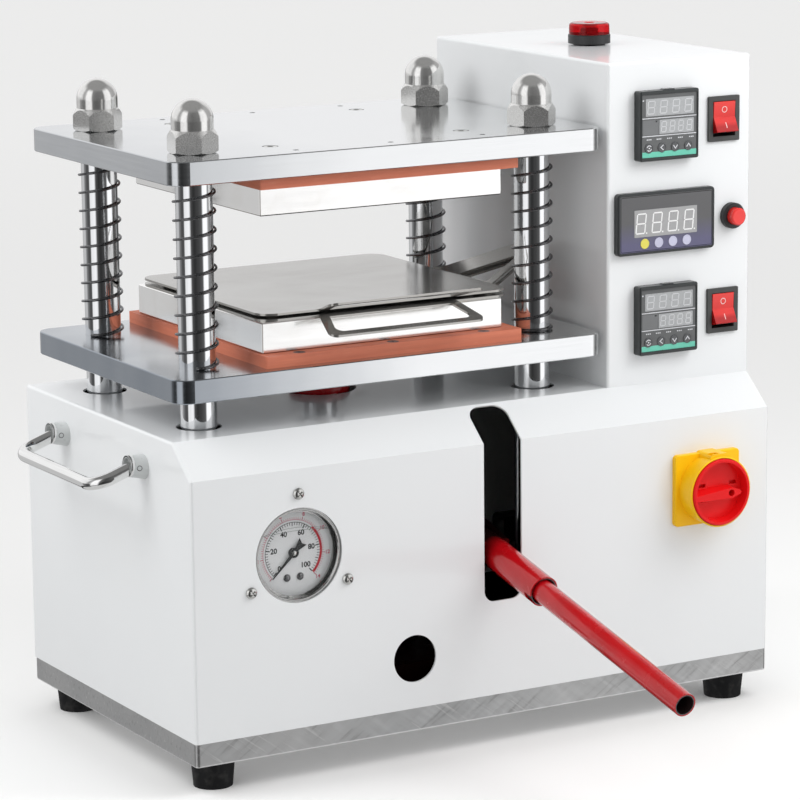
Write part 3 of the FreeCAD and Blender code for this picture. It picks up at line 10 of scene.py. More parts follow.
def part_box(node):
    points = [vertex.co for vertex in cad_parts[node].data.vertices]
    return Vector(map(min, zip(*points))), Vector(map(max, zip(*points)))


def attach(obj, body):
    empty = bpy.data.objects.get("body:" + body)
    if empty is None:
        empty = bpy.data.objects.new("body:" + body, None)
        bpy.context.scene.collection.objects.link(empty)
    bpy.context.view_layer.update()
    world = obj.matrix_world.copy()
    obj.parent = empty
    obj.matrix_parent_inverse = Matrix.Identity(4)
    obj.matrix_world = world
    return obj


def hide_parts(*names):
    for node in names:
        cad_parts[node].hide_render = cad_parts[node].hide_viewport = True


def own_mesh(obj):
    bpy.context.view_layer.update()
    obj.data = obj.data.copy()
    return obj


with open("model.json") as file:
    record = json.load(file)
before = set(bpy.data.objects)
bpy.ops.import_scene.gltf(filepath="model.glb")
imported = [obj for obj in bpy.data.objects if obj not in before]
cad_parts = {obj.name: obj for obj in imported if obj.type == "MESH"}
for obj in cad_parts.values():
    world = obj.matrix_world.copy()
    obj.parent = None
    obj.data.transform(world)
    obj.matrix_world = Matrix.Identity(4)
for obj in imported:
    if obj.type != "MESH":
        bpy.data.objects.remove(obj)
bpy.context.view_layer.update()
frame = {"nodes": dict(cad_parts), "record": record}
nodes = frame["nodes"]

MM = 0.001
PRINT_T = 0.05 * MM  # thickness of ink, labels and membrane prints
SLOPE_H, SLOPE_D = 22 * MM, 26 * MM  # sloping face of the cabinet
SHEET = 1.5 * MM
NUT_HEX_H, GAUGE_RIM_D = 15.5 * MM, 9 * MM
CABINET_REACH, LEVER_REACH = 24 * MM, 13 * MM  # depths at which a part is lost in the cabinet's dark


# -------- materials
class Nodes:
    """Short ways to add nodes to a shader tree and to link them."""

    def __init__(self, tree):
        self.tree = tree

    def node(self, kind, links=(), **inputs):
        made = self.tree.nodes.new("ShaderNode" + kind)
        for socket, value in inputs.items():
            made.inputs[socket.replace("_", " ")].default_value = value
        for source, socket in links:
            self.tree.links.new(source, made.inputs[socket])
        return made

    def math(self, operation, *values, clamp=False):
        made = self.node("Math")
        made.operation, made.use_clamp = operation, clamp
        for slot, value in enumerate(values):
            if isinstance(value, (int, float)):
                made.inputs[slot].default_value = value
            else:
                self.tree.links.new(value, made.inputs[slot])
        return made.outputs[0]

    def remap(self, value, low, high, out_low=0.0, out_high=1.0):
        made = self.node("MapRange", [(value, "Value")], From_Min=low, From_Max=high,
                         To_Min=out_low, To_Max=out_high)
        return made.outputs[0]

    def mixed(self, share, first, second):
        """Colour between two colours or colour outputs, by a share from 0 to 1."""
        made = self.node("Mix")
        made.data_type = "RGBA"
        self.tree.links.new(share, made.inputs["Factor"])
        for socket, value in ((made.inputs[6], first), (made.inputs[7], second)):
            if isinstance(value, tuple):
                socket.default_value = (*value, 1.0)
            else:
                self.tree.links.new(value, socket)
        return made.outputs[2]


class Finish(Nodes):
    """A material under construction: one Principled shader and procedural nodes in front of it.

    The colour and roughness given first are what a viewer without these nodes shows.
    """

    def __init__(self, name, colour, roughness, metallic=0.0, **constants):
        self.material = bpy.data.materials.new(name)
        self.material.use_nodes = True
        super().__init__(self.material.node_tree)
        self.shader = self.tree.nodes["Principled BSDF"]
        self.set("Base Color", (*colour, 1.0))
        self.set("Roughness", roughness)
        self.set("Metallic", metallic)
        for socket, value in constants.items():
            self.set(socket.replace("_", " "), value)
        self.place = self.node("TexCoord").outputs["Object"]

    def set(self, socket, value):
        self.shader.inputs[socket].default_value = value

    def wire(self, source, socket):
        self.tree.links.new(source, self.shader.inputs[socket])

    def paint(self, colour):
        self.wire(colour, "Base Color")

    def rough(self, scale, detail, low, high):
        """Roughness that drifts between two values."""
        self.wire(self.spread(self.noise(scale, detail), low, high), "Roughness")

    def stretched(self, stretch=(1, 1, 1), turn=(0, 0, 0)):
        """Object coordinates, turned first and then stretched."""
        mapping = self.node("Mapping", [(self.place, "Vector")])
        mapping.vector_type = "TEXTURE"
        mapping.inputs["Scale"].default_value = [1 / s for s in stretch]
        mapping.inputs["Rotation"].default_value = [radians(a) for a in turn]
        return mapping.outputs[0]

    def noise(self, scale, detail=3.0, stretch=None, turn=(0, 0, 0), distortion=0.0):
        place = self.stretched(stretch, turn) if stretch else self.place
        made = self.node("TexNoise", [(place, "Vector")], Scale=scale, Detail=detail,
                         Distortion=distortion)
        return made.outputs["Fac"]

    def height(self, axis="Z"):
        split = self.node("SeparateXYZ", [(self.place, "Vector")])
        return split.outputs[axis]

    def least(self, first, *others):
        for other in others:
            first = self.math("MINIMUM", first, other)
        return first

    def walls(self, node):
        """How far a point lies inside a node's box, from its left, right, front, rear, bottom and top."""
        low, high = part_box(node)
        found = []
        for i, axis in enumerate("XYZ"):
            place = self.height(axis)
            found += [self.math("SUBTRACT", place, low[i]), self.math("SUBTRACT", high[i], place)]
        return found

    def cabinet_depth(self):
        """How far a point lies behind the cabinet's outer skin, below zero outside."""
        left, right, front, rear, _, top = self.walls("cabinet")
        run = hypot(SLOPE_H, SLOPE_D)
        rise = self.math("SUBTRACT", SLOPE_H, top)
        slope = self.math("SUBTRACT", self.math("MULTIPLY", front, SLOPE_H / run),
                          self.math("MULTIPLY", rise, SLOPE_D / run))
        return self.least(left, right, front, rear, top, slope)

    def inside_cabinet(self):
        """Share that is 1 behind the sheet and 0 on its outer skin."""
        return self.remap(self.cabinet_depth(), SHEET * 0.8, SHEET * 0.95)

    def spread(self, noise, out_low=0.0, out_high=1.0):
        """A noise, which seldom leaves 0.3 to 0.7, stretched over a range."""
        return self.remap(noise, 0.3, 0.7, out_low, out_high)

    def bump(self, height, strength, distance):
        made = self.node("Bump", [(height, "Height")], Strength=strength, Distance=distance)
        self.wire(made.outputs[0], "Normal")


def white_powder_coat():
    """White outside; painted shade makes the unlit inside of the cabinet near black."""
    m = Finish("white_powder_coat", (0.83, 0.845, 0.855), 0.3, Coat_Weight=0.55, Coat_Roughness=0.06)
    tone = m.mixed(m.remap(m.noise(9, 2), 0.35, 0.65), (0.822, 0.838, 0.85), (0.835, 0.85, 0.86))
    # painted shade: behind the sheet the coat turns near black and loses its gloss
    inside = m.inside_cabinet()
    m.paint(m.mixed(inside, tone, (0.006, 0.006, 0.006)))
    m.wire(m.remap(inside, 0, 1, 0.5, 0.05), "Specular IOR Level")
    m.wire(m.remap(inside, 0, 1, 0.55, 0.0), "Coat Weight")
    m.rough(60, 4, 0.28, 0.32)
    peel = m.math("ADD", m.noise(420, 2), m.math("MULTIPLY", m.noise(1600, 2), 0.35))
    m.bump(peel, 0.015, 0.15 * MM)
    return m.material


def milled_steel():
    """Raw plate with a mill grain, slanting scuffs and a bright lower edge; painted shade makes it near
    black under the cabinet.
    """
    m = Finish("milled_steel", (0.46, 0.46, 0.455), 0.42, 1.0)
    low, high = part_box("base_plate")
    scuffs = m.noise(420, 3, (0.07, 1.0, 1.0), (0, 38, 0))
    cross = m.noise(380, 3, (0.09, 1.0, 1.0), (0, -34, 0))
    patches = m.noise(16, 3)
    tone = m.mixed(m.spread(patches), (0.43, 0.435, 0.435), (0.53, 0.53, 0.525))
    tone = m.mixed(m.remap(cross, 0.60, 0.72, 0.0, 0.35), tone, (0.22, 0.215, 0.21))
    tone = m.mixed(m.remap(scuffs, 0.60, 0.72, 0.0, 0.45), tone, (0.78, 0.78, 0.77))
    tone = m.mixed(m.remap(m.height(), low.z + 1.3 * MM, low.z + 0.7 * MM), tone, (0.84, 0.84, 0.84))
    # painted shade: the top face under the cabinet is painted near black
    inside = m.math("MULTIPLY", m.inside_cabinet(),
                    m.remap(m.height(), high.z - 0.4 * MM, high.z - 0.2 * MM))
    m.paint(m.mixed(inside, tone, (0.008, 0.008, 0.008)))
    m.wire(m.remap(m.math("ADD", scuffs, cross), 0.7, 1.3, 0.34, 0.50), "Roughness")
    m.bump(m.math("ADD", scuffs, cross), 0.2, 0.1 * MM)
    return m.material


def foot_rubber():
    m = Finish("foot_rubber", (0.010, 0.010, 0.011), 0.62, Specular_IOR_Level=0.25)
    dust = m.remap(m.noise(160, 5), 0.5, 0.75)
    m.paint(m.mixed(dust, (0.007, 0.007, 0.008), (0.032, 0.031, 0.030)))
    m.rough(90, 3, 0.5, 0.74)
    m.bump(m.noise(2200, 2), 0.3, 0.08 * MM)
    return m.material


def steel(name, colour, roughness, grain, stretch, streak=0.10, relief=0.05, shade=None):
    """Metal with a directional grain that shifts its tone and gloss, darker where shade(m) paints shade or
    a dark reflection.
    """
    m = Finish(name, colour, roughness, 1.0)
    lines = m.noise(grain, 4, stretch)
    patches = m.noise(28, 3)
    dark = tuple(c * (1 - streak) for c in colour)
    light = tuple(min(c * (1 + streak * 0.6), 1.0) for c in colour)
    tone = m.mixed(m.spread(lines), dark, light)
    tone = m.mixed(m.spread(patches, 0.0, 0.35), tone, light)
    if shade:
        share, shade_colour = shade(m)
        tone = m.mixed(share, tone, shade_colour)
    m.paint(tone)
    m.wire(m.spread(lines, roughness * 0.75, roughness * 1.3), "Roughness")
    m.bump(lines, relief, 0.05 * MM)
    return m.material


def cabinet_gloom(m, reach=CABINET_REACH):
    """Share of darkness of a part in the unlit cabinet, growing with its depth behind the skin."""
    return m.remap(m.cabinet_depth(), -2 * MM, reach, 0.0, 0.985), (0.004, 0.003, 0.003)


def plate_steel(node, reach, share):
    """Ground plate, painted darker and bluer towards its left end: a painted reflection."""
    def tint(m):
        low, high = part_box(node)
        end = low.x + (high.x - low.x) * reach
        waves = m.math("MULTIPLY", m.noise(26, 2, (1.0, 1.0, 0.3)), 50 * MM)
        # painted reflection: dark bluish grey that fades out from the left end
        return (m.remap(m.math("ADD", m.height("X"), waves), low.x + 10 * MM, end, share, 0.0),
                (0.20, 0.235, 0.28))
    return steel("plate_steel_" + node, (0.79, 0.80, 0.805), 0.16, 420, (0.04, 0.04, 1.0), 0.06, 0.03, tint)


def clamp_steel():
    """Countersunk screws: bright rim, and painted shade that darkens the socket below it."""
    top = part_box("upper_platen_screws")[1].z
    # painted shade: near black from a quarter millimetre below the head's top down into the socket
    return steel("clamp_steel", (0.74, 0.74, 0.73), 0.22, 500, (1, 1, 1), shade=lambda m: (
        m.remap(m.height(), top - 0.25 * MM, top - 0.7 * MM), (0.02, 0.02, 0.02)))


def nut_steel():
    """Stainless nuts: satin, sandy flats below and a polished dome above."""
    m = Finish("nut_steel", (0.72, 0.715, 0.70), 0.2, 0.86)
    hex_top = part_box("cap_nuts")[0].z + NUT_HEX_H
    dome = m.remap(m.height(), hex_top - 1.2 * MM, hex_top + 0.2 * MM)
    sand = m.noise(1500, 3)
    satin = m.spread(sand, 0.17, 0.30)
    polished = m.spread(m.noise(120, 3), 0.05, 0.10)
    rough = m.math("ADD", m.math("MULTIPLY", satin, m.math("SUBTRACT", 1.0, dome)),
                   m.math("MULTIPLY", polished, dome))
    m.wire(rough, "Roughness")
    m.paint(m.mixed(m.spread(sand), (0.70, 0.695, 0.68), (0.80, 0.795, 0.78)))
    m.bump(m.math("MULTIPLY", sand, m.math("SUBTRACT", 1.0, dome)), 0.07, 0.08 * MM)
    return m.material


def insulation_red():
    """Pressed fibre board: red-orange with pale fibres and sawn edges."""
    m = Finish("insulation_red", (0.60, 0.17, 0.09), 0.62, Specular_IOR_Level=0.5)
    layers = m.noise(420, 4, (0.05, 0.05, 1.0))
    fibres = m.noise(900, 4, (0.10, 1.0, 1.0))
    tone = m.mixed(m.remap(layers, 0.32, 0.68), (0.66, 0.192, 0.112), (0.75, 0.232, 0.134))
    m.paint(m.mixed(m.remap(fibres, 0.58, 0.72, 0.0, 0.14), tone, (0.86, 0.46, 0.31)))
    m.rough(70, 3, 0.46, 0.68)
    m.bump(m.math("ADD", layers, fibres), 0.25, 0.1 * MM)
    return m.material


def heater_metal(node):
    """Bright block with faint heat stains and dark folded edges."""
    m = Finish("heater_metal_" + node, (0.80, 0.79, 0.765), 0.2, 1.0)
    stain = m.math("MULTIPLY", m.remap(m.noise(34, 5, distortion=1.2), 0.5, 0.75), 0.25)
    pits = m.math("GREATER_THAN", m.noise(260, 2), 0.77)
    tone = m.mixed(stain, (0.92, 0.915, 0.90), (0.76, 0.73, 0.68))
    tone = m.mixed(pits, tone, (0.50, 0.48, 0.45))
    left, right, front, rear, bottom, _ = m.walls(node)
    side, across = m.least(left, right), m.least(front, rear)
    corner = m.math("MAXIMUM", side, across)
    foot = m.math("MAXIMUM", bottom, m.least(side, across))
    edge = m.remap(m.least(corner, foot), 0.45 * MM, 0.85 * MM, 0.85, 0.0)
    m.paint(m.mixed(edge, tone, (0.10, 0.085, 0.07)))
    m.wire(m.spread(m.noise(300, 4, (0.08, 0.08, 1.0)), 0.12, 0.18), "Roughness")
    m.bump(m.noise(300, 3, (0.1, 0.1, 1.0)), 0.02, 0.05 * MM)
    return m.material


def cartridge_steel():
    m = Finish("cartridge_steel", (0.42, 0.39, 0.36), 0.35, 1.0)
    tone = m.mixed(m.remap(m.noise(90, 4), 0.35, 0.65), (0.36, 0.31, 0.27), (0.52, 0.50, 0.49))
    m.paint(tone)
    m.rough(400, 3, 0.25, 0.45)
    return m.material


def tray_steel():
    """Rolled stainless sheet with heat stains and rubbed edges."""
    m = Finish("tray_steel", (0.42, 0.41, 0.39), 0.2, 0.8)
    stain = m.remap(m.noise(9, 3, distortion=0.8), 0.35, 0.7)
    streaks = m.noise(500, 3, (0.05, 1.0, 1.0))
    tone = m.mixed(stain, (0.44, 0.43, 0.41), (0.37, 0.355, 0.33))
    m.paint(m.mixed(m.remap(streaks, 0.55, 0.75, 0.0, 0.2), tone, (0.55, 0.54, 0.52)))
    gloss = m.math("ADD", m.spread(streaks, 0.13, 0.19), m.math("MULTIPLY", stain, 0.05))
    m.wire(gloss, "Roughness")
    m.bump(m.noise(40, 1), 0.01, 0.3 * MM)
    return m.material


def red_enamel():
    m = Finish("red_enamel", (0.55, 0.006, 0.010), 0.22, Coat_Weight=0.7, Coat_Roughness=0.04)
    tone = m.mixed(m.spread(m.noise(30, 3)), (0.45, 0.003, 0.006), (0.54, 0.005, 0.010))
    gloom, dark = cabinet_gloom(m, LEVER_REACH)
    m.paint(m.mixed(gloom, tone, dark))
    m.wire(m.remap(gloom, 0, 1, 0.4, 0.03), "Specular IOR Level")
    m.wire(m.remap(gloom, 0, 0.6, 0.7, 0.0), "Coat Weight")
    m.rough(80, 4, 0.18, 0.3)
    m.bump(m.noise(350, 2), 0.07, 0.2 * MM)
    return m.material


def gauge_steel():
    """Bright rim in front; the case behind the panel is black."""
    m = Finish("gauge_steel", (0.45, 0.45, 0.44), 0.16, 1.0)
    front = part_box("gauge_case")[0].y
    behind = m.remap(m.height("Y"), front + GAUGE_RIM_D, front + GAUGE_RIM_D + 1 * MM)
    rings = m.noise(700, 3, (1.0, 0.05, 1.0))
    bright = m.mixed(m.spread(rings), (0.36, 0.36, 0.355), (0.50, 0.50, 0.49))
    m.paint(m.mixed(behind, bright, (0.02, 0.02, 0.021)))
    m.wire(m.remap(behind, 0, 1, 1.0, 0.0), "Metallic")
    m.wire(m.math("ADD", m.spread(rings, 0.10, 0.2), m.math("MULTIPLY", behind, 0.3)), "Roughness")
    return m.material


def plastic(name, colour, roughness, grain=1800, relief=0.12, drift=0.08, coat=0.0, gloss=0.5):
    """Moulded plastic: fine spark texture, slight drift of tone."""
    m = Finish(name, colour, roughness, Coat_Weight=coat, Coat_Roughness=0.08, Specular_IOR_Level=gloss)
    dark = tuple(c * (1 - drift) for c in colour)
    light = tuple(min(c * (1 + drift), 1.0) for c in colour)
    m.paint(m.mixed(m.spread(m.noise(45, 3)), dark, light))
    m.rough(150, 3, roughness * 0.85, roughness * 1.15)
    m.bump(m.noise(grain, 2), relief, 0.05 * MM)
    return m.material


def clear_glass():
    m = Finish("clear_glass", (0.40, 0.42, 0.42), 0.03, Alpha=0.045)
    m.wire(m.remap(m.noise(40, 3), 0.4, 0.7, 0.02, 0.06), "Roughness")
    return m.material


def lens_red():
    """Clear red lamp cover, through which the dark sounder shows; painted light makes its top rim lighter.
    """
    m = Finish("lens_red", (0.80, 0.010, 0.016), 0.12, Coat_Weight=0.2, Coat_Roughness=0.03,
               Specular_IOR_Level=0.3, Transmission_Weight=0.8, IOR=1.2)
    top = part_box("buzzer_lens")[1].z
    tone = m.mixed(m.spread(m.noise(30, 2)), (0.62, 0.006, 0.010), (0.70, 0.010, 0.016))
    # painted light: the top 2 mm of the lens painted lighter red
    rim = m.remap(m.height(), top - 2.2 * MM, top - 0.6 * MM, 0.0, 0.7)
    m.paint(m.mixed(rim, tone, (0.95, 0.06, 0.06)))
    m.rough(120, 2, 0.08, 0.18)
    return m.material


def rocker_red(node):
    """Clear red key: painted shade makes it deep red at its foot, painted light makes it lighter at its
    top.
    """
    m = Finish("rocker_red_" + node, (0.62, 0.004, 0.006), 0.16, Coat_Weight=0.3, Coat_Roughness=0.03,
               Specular_IOR_Level=0.35)
    low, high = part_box(node)
    # painted shade at the foot (lip) and painted light at the top (head)
    lip = m.remap(m.height(), low.z + 8 * MM, low.z + 5 * MM)
    head = m.remap(m.height(), (low.z + high.z) / 2, high.z - 2 * MM, 0.0, 0.8)
    tone = m.mixed(m.spread(m.noise(40, 2)), (0.62, 0.016, 0.014), (0.70, 0.022, 0.018))
    tone = m.mixed(head, tone, (0.76, 0.048, 0.040))
    m.paint(m.mixed(lip, tone, (0.40, 0.002, 0.003)))
    m.rough(120, 2, 0.12, 0.2)
    return m.material


def meter_film(foot, top):
    """Meter face: dark film that turns violet between two heights."""
    dark, violet = (0.100, 0.100, 0.104), (0.105, 0.10, 0.185)
    m = Finish("meter_film", dark, 0.4, Coat_Weight=0.25, Coat_Roughness=0.15)
    m.paint(m.mixed(m.remap(m.height(), foot, top), violet, dark))
    m.rough(300, 2, 0.34, 0.46)
    m.bump(m.noise(2500, 2), 0.05, 0.03 * MM)
    return m.material


FINISHES = {make.__name__: make() for make in (
    white_powder_coat, milled_steel, foot_rubber, nut_steel, insulation_red, cartridge_steel, tray_steel,
    red_enamel, gauge_steel, clear_glass, lens_red)}
FINISHES["plate_steel"] = plate_steel("top_plate", 0.45, 0.36)
FINISHES["heater_metal"] = heater_metal("upper_heater_block")
for name, look in {  # colour, roughness, grain, its stretch, streak, relief, shade
    "screw_steel": ((0.62, 0.62, 0.60), 0.2, 500, (1, 1, 1)),
    "hard_chrome": ((0.80, 0.81, 0.82), 0.06, 900, (1, 1, 0.02), 0.05, 0.01),
    "spring_steel": ((0.17, 0.17, 0.175), 0.28, 600, (1, 1, 1), 0.25),
    "pump_steel": ((0.50, 0.50, 0.51), 0.28, 500, (1, 1, 0.2), 0.10, 0.05, cabinet_gloom),
    "handle_chrome": ((0.83, 0.83, 0.82), 0.05, 700, (1, 0.05, 1), 0.05, 0.01),
}.items():
    FINISHES[name] = steel(name, *look)
for name, look in {  # colour, roughness, grain, relief, drift, coat, gloss
    "dial_white": ((0.73, 0.74, 0.75), 0.45, 900, 0.02, 0.03, 0.0, 0.3),
    "needle_black": ((0.008, 0.008, 0.009), 0.5, 1800, 0.12, 0.08, 0.0, 0.25),
    "ferrule_grey": ((0.60, 0.62, 0.62), 0.3, 1200, 0.04, 0.04, 0.3),
    "switch_yellow": ((1.0, 0.57, 0.006), 0.36, 1500, 0.05, 0.04, 0.0, 0.3),
    "switch_red": ((0.80, 0.008, 0.010), 0.34, 1500, 0.05, 0.05, 0.0, 0.25),
    "instrument_grey": ((0.021, 0.025, 0.026), 0.34, 1800, 0.06, 0.08, 0.2),
    "bezel_black": ((0.022, 0.023, 0.024), 0.42),
    "key_red": ((0.66, 0.004, 0.006), 0.20, 1500, 0.03, 0.06, 0.25, 0.3),
    "face_grey": ((0.112, 0.116, 0.118), 0.38, 2500, 0.04),
    "panel_grey": ((0.165, 0.17, 0.175), 0.38, 2500, 0.04),
    "line_white": ((0.66, 0.67, 0.70), 0.4, 2500, 0.02),
    "window_pale": ((0.37, 0.38, 0.39), 0.28, 2500, 0.02, 0.03, 0.4),
    "segment_pale": ((0.55, 0.56, 0.575), 0.35, 2500, 0.02, 0.03),
    "segment_white": ((0.84, 0.84, 0.84), 0.35, 2500, 0.02, 0.02),
    "meter_window": ((0.35, 0.35, 0.355), 0.3, 2500, 0.02, 0.03, 0.3),
    "teal_strip": ((0.14, 0.56, 0.42), 0.35, 2500, 0.03, 0.06, 0.2),
    "key_dark": ((0.085, 0.088, 0.092), 0.34, 2200, 0.05, 0.06, 0.2),
    "key_yellow": ((0.76, 0.68, 0.12), 0.38, 2200, 0.03, 0.05),
    "key_lilac": ((0.55, 0.55, 0.70), 0.38, 2200, 0.03, 0.05),
    "ink_black": ((0.006, 0.006, 0.007), 0.6, 2500, 0.02, 0.08, 0.0, 0.2),
    "ink_red": ((0.48, 0.008, 0.02), 0.6, 2500, 0.02, 0.08, 0.0, 0.2),
    "ink_pink": ((0.52, 0.07, 0.13), 0.6, 2500, 0.02, 0.08, 0.0, 0.2),
    "ink_pale": ((0.86, 0.66, 0.64), 0.45, 2500, 0.02),
    "fluid_edge": ((0.19, 0.22, 0.21), 0.3, 2500, 0.02),
    # hollow_dark also serves as the painted shade lining the lever's bores
    "hollow_dark": ((0.02, 0.008, 0.008), 0.6, 1500, 0.1),
}.items():
    FINISHES[name] = plastic(name, *look)
SPECIAL = {  # nodes whose own place gives their finish its detail
    "moving_plate": plate_steel("moving_plate", 0.62, 0.88),
    "lower_heater_block": heater_metal("lower_heater_block"),
    "upper_platen_screws": clamp_steel(),
    # the lower platen's screws are painted dark brown all over: painted shade of the holes they sit in
    "lower_platen_screws": plastic("sunk_screw", (0.10, 0.03, 0.02), 0.5),
    "rocker_upper": rocker_red("rocker_upper"),
    "rocker_lower": rocker_red("rocker_lower"),
    "rocker_bezels": plastic("bezel_grey", (0.055, 0.056, 0.055), 0.42),
    "push_button": plastic("button_red", (0.80, 0.035, 0.030), 0.22, 1500, 0.03, 0.06, 0.5, 0.4),
}
for entry in frame["record"]["subparts"]:
    mesh = nodes[entry["node"]].data
    mesh.materials.clear()
    mesh.materials.append(SPECIAL.get(entry["node"], FINISHES[entry["material_slot"]]))


# -------- mesh helpers
def piece(name, mesh_data, finish, body="press_frame"):
    """A new visible piece that rides on a body and takes one of the finishes."""
    made = bpy.data.objects.new(name, mesh_data)
    bpy.context.scene.collection.objects.link(made)
    mesh_data.materials.append(FINISHES[finish])
    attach(made, body)
    return made


def from_bmesh(name, bm):
    bmesh.ops.recalc_face_normals(bm, faces=bm.faces)
    mesh_data = bpy.data.meshes.new(name)
    bm.to_mesh(mesh_data)
    bm.free()
    return mesh_data


CORNERS = ((-1, -1), (1, -1), (1, 1), (-1, 1))


def circle(sides):
    """Cosines and sines of evenly spaced angles."""
    return [(cos(2 * pi * i / sides), sin(2 * pi * i / sides)) for i in range(sides)]


def outline(w, h, r, steps=6):
    """Corner-rounded rectangle as (u, v) points, anticlockwise."""
    points = []
    for cu, cv, start in ((1, 1, 0), (-1, 1, 90), (-1, -1, 180), (1, -1, 270)):
        for i in range(steps + 1):
            a = radians(start + 90 * i / steps)
            points.append((cu * (w / 2 - r) + r * cos(a), cv * (h / 2 - r) + r * sin(a)))
    return points


def loft(bm, rings, close_ends=True):
    """Skin between rings of equal length; the first and last are capped."""
    made = [[bm.verts.new(p) for p in ring] for ring in rings]
    count = len(made[0])
    for below, above in zip(made, made[1:]):
        for i in range(count):
            j = (i + 1) % count
            bm.faces.new((below[i], below[j], above[j], above[i]))
    if close_ends:
        bm.faces.new(made[0][::-1])
        bm.faces.new(made[-1])


SHARPEST = 0.4  # keeps the mitre of a narrow bend short


class Front:
    """A place on a panel that faces the front: u to the right, v up, w out of the panel."""

    def __init__(self, x, y, z):
        self.x, self.y, self.z = x, y, z

    def at(self, u, v, w=0.0):
        return Vector((self.x + u, self.y - w, self.z + v))

    def moved(self, u, v, w=0.0):
        return Front(self.x + u, self.y - w, self.z + v)

    def ring(self, r, w=0.0, sides=24):
        """Circle of points round the place."""
        return [self.at(r * c, r * s, w) for c, s in circle(sides)]

    def pad(self, bm, w, h, r, low, high, bevel):
        """Rounded pad standing on the panel, with a softened front edge."""
        full = outline(w, h, r)
        soft = outline(w - bevel * 0.6, h - bevel * 0.6, r)
        small = outline(w - 2 * bevel, h - 2 * bevel, max(r - bevel, bevel * 0.2))
        levels = ((full, low), (full, high - bevel), (soft, high - bevel * 0.3), (small, high))
        loft(bm, [[self.at(u, v, level) for u, v in points] for points, level in levels])

    def shape(self, bm, points, low=0.0, high=PRINT_T):
        """Flat shape with straight sides, from its outline."""
        loft(bm, [[self.at(u, v, low) for u, v in points], [self.at(u, v, high) for u, v in points]])

    def stroke(self, bm, points, width, closed=False):
        """Ribbon of even width along a line."""
        line = [Vector(p) for p in points]
        count = len(line)
        left, right = [], []
        for i, here in enumerate(line):
            before = line[i - 1] if closed or i else 2 * here - line[1]
            after = line[(i + 1) % count] if closed or i < count - 1 else 2 * here - line[-2]
            way_in, way_out = (here - before).normalized(), (after - here).normalized()
            across = Vector((-(way_in + way_out).y, (way_in + way_out).x)).normalized()
            reach = width / 2 / max(across.dot(Vector((-way_out.y, way_out.x))), SHARPEST)
            left.append(here + across * reach)
            right.append(here - across * reach)
        for i in range(count if closed else count - 1):
            j = (i + 1) % count
            self.shape(bm, [right[i], right[j], left[j], left[i]])

    def arc(self, bm, radius, start, end, width, steps=48):
        """Ring segment between two angles in degrees."""
        inner, outer = radius - width / 2, radius + width / 2
        section = ((inner, 0.0), (outer, 0.0), (outer, PRINT_T), (inner, PRINT_T))
        rings = []
        for i in range(steps + 1):
            a = radians(start + (end - start) * i / steps)
            rings.append([self.at(r * cos(a), r * sin(a), w) for r, w in section])
        loft(bm, rings)


def front_of(node):
    """Middle of a node's front."""
    low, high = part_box(node)
    return Front((low.x + high.x) / 2, low.y, (low.z + high.z) / 2)


def drawn(name, bm, finish, body="press_frame", smooth=False):
    """The piece that was drawn in bm."""
    mesh_data = from_bmesh(name, bm)
    if smooth:
        mesh_data.shade_smooth()
    return piece(name, mesh_data, finish, body)


def turned(name, place, profile, finish, body="press_frame", sides=28):
    """Turned piece on a panel, from (radius, height) pairs in millimetres."""
    bm = bmesh.new()
    loft(bm, [place.ring(r * MM, w * MM, sides) for r, w in profile])
    drawn(name, bm, finish, body, smooth=True)


def tube_piece(name, profile, centre, along, finish, body="press_frame", smooth=False):
    """Turned ring: (radius, distance) pairs in millimetres round a line, closed on itself."""
    turn = along.to_track_quat("Z", "Y").to_matrix()
    bm = bmesh.new()
    rings = [[centre + turn @ (Vector((r * c, r * s, w)) * MM) for c, s in circle(48)] for r, w in profile]
    loft(bm, rings + rings[:1], close_ends=False)
    bmesh.ops.remove_doubles(bm, verts=bm.verts, dist=1e-7)
    drawn(name, bm, finish, body, smooth)


CAPITAL_SHARE = 0.70  # height of a numeral as a share of the typeface's size


def numeral(name, value, place, height, ink, bold):
    """A number on the dial, cut from the built-in typeface as a thin print."""
    curve = bpy.data.curves.new(name, "FONT")
    curve.body = str(value)
    curve.size = height / CAPITAL_SHARE
    curve.align_x, curve.align_y = "CENTER", "CENTER"
    curve.extrude = PRINT_T / 2
    curve.resolution_u = 6
    curve.offset = bold
    holder = bpy.data.objects.new(name + "_text", curve)
    mesh_data = bpy.data.meshes.new_from_object(holder)
    bpy.data.objects.remove(holder)
    facing = Matrix.Translation(place.at(0, 0, PRINT_T / 2)) @ Matrix.Rotation(radians(90), 4, "X")
    mesh_data.transform(facing)
    mesh_data.name = name
    piece(name, mesh_data, ink)


def lay_on(node, points, lift, reach):
    """Points pressed onto a node's own surface, from a reach in front of them."""
    cad = nodes[node].data
    tree = BVHTree.FromPolygons([v.co for v in cad.vertices], [p.vertices for p in cad.polygons])
    laid = []
    for p in points:
        hit = tree.ray_cast(Vector((p.x, p.y - reach, p.z)), Vector((0, 1, 0)))
        laid.append(Vector((p.x, (hit[0].y if hit[0] else p.y) - lift, p.z)))
    return laid


def laid_ring(bm, node, place, inner_r, outer_r, sides, sink, reach):
    """Ring on a node's own surface, from a little below it to the height of a print."""
    outer, inner = place.ring(outer_r, 0.0, sides), place.ring(inner_r, 0.0, sides)
    loft(bm, [lay_on(node, rim, lift, reach) for rim, lift in
              ((outer, -sink), (outer, PRINT_T), (inner, PRINT_T), (inner, -sink))], close_ends=False)


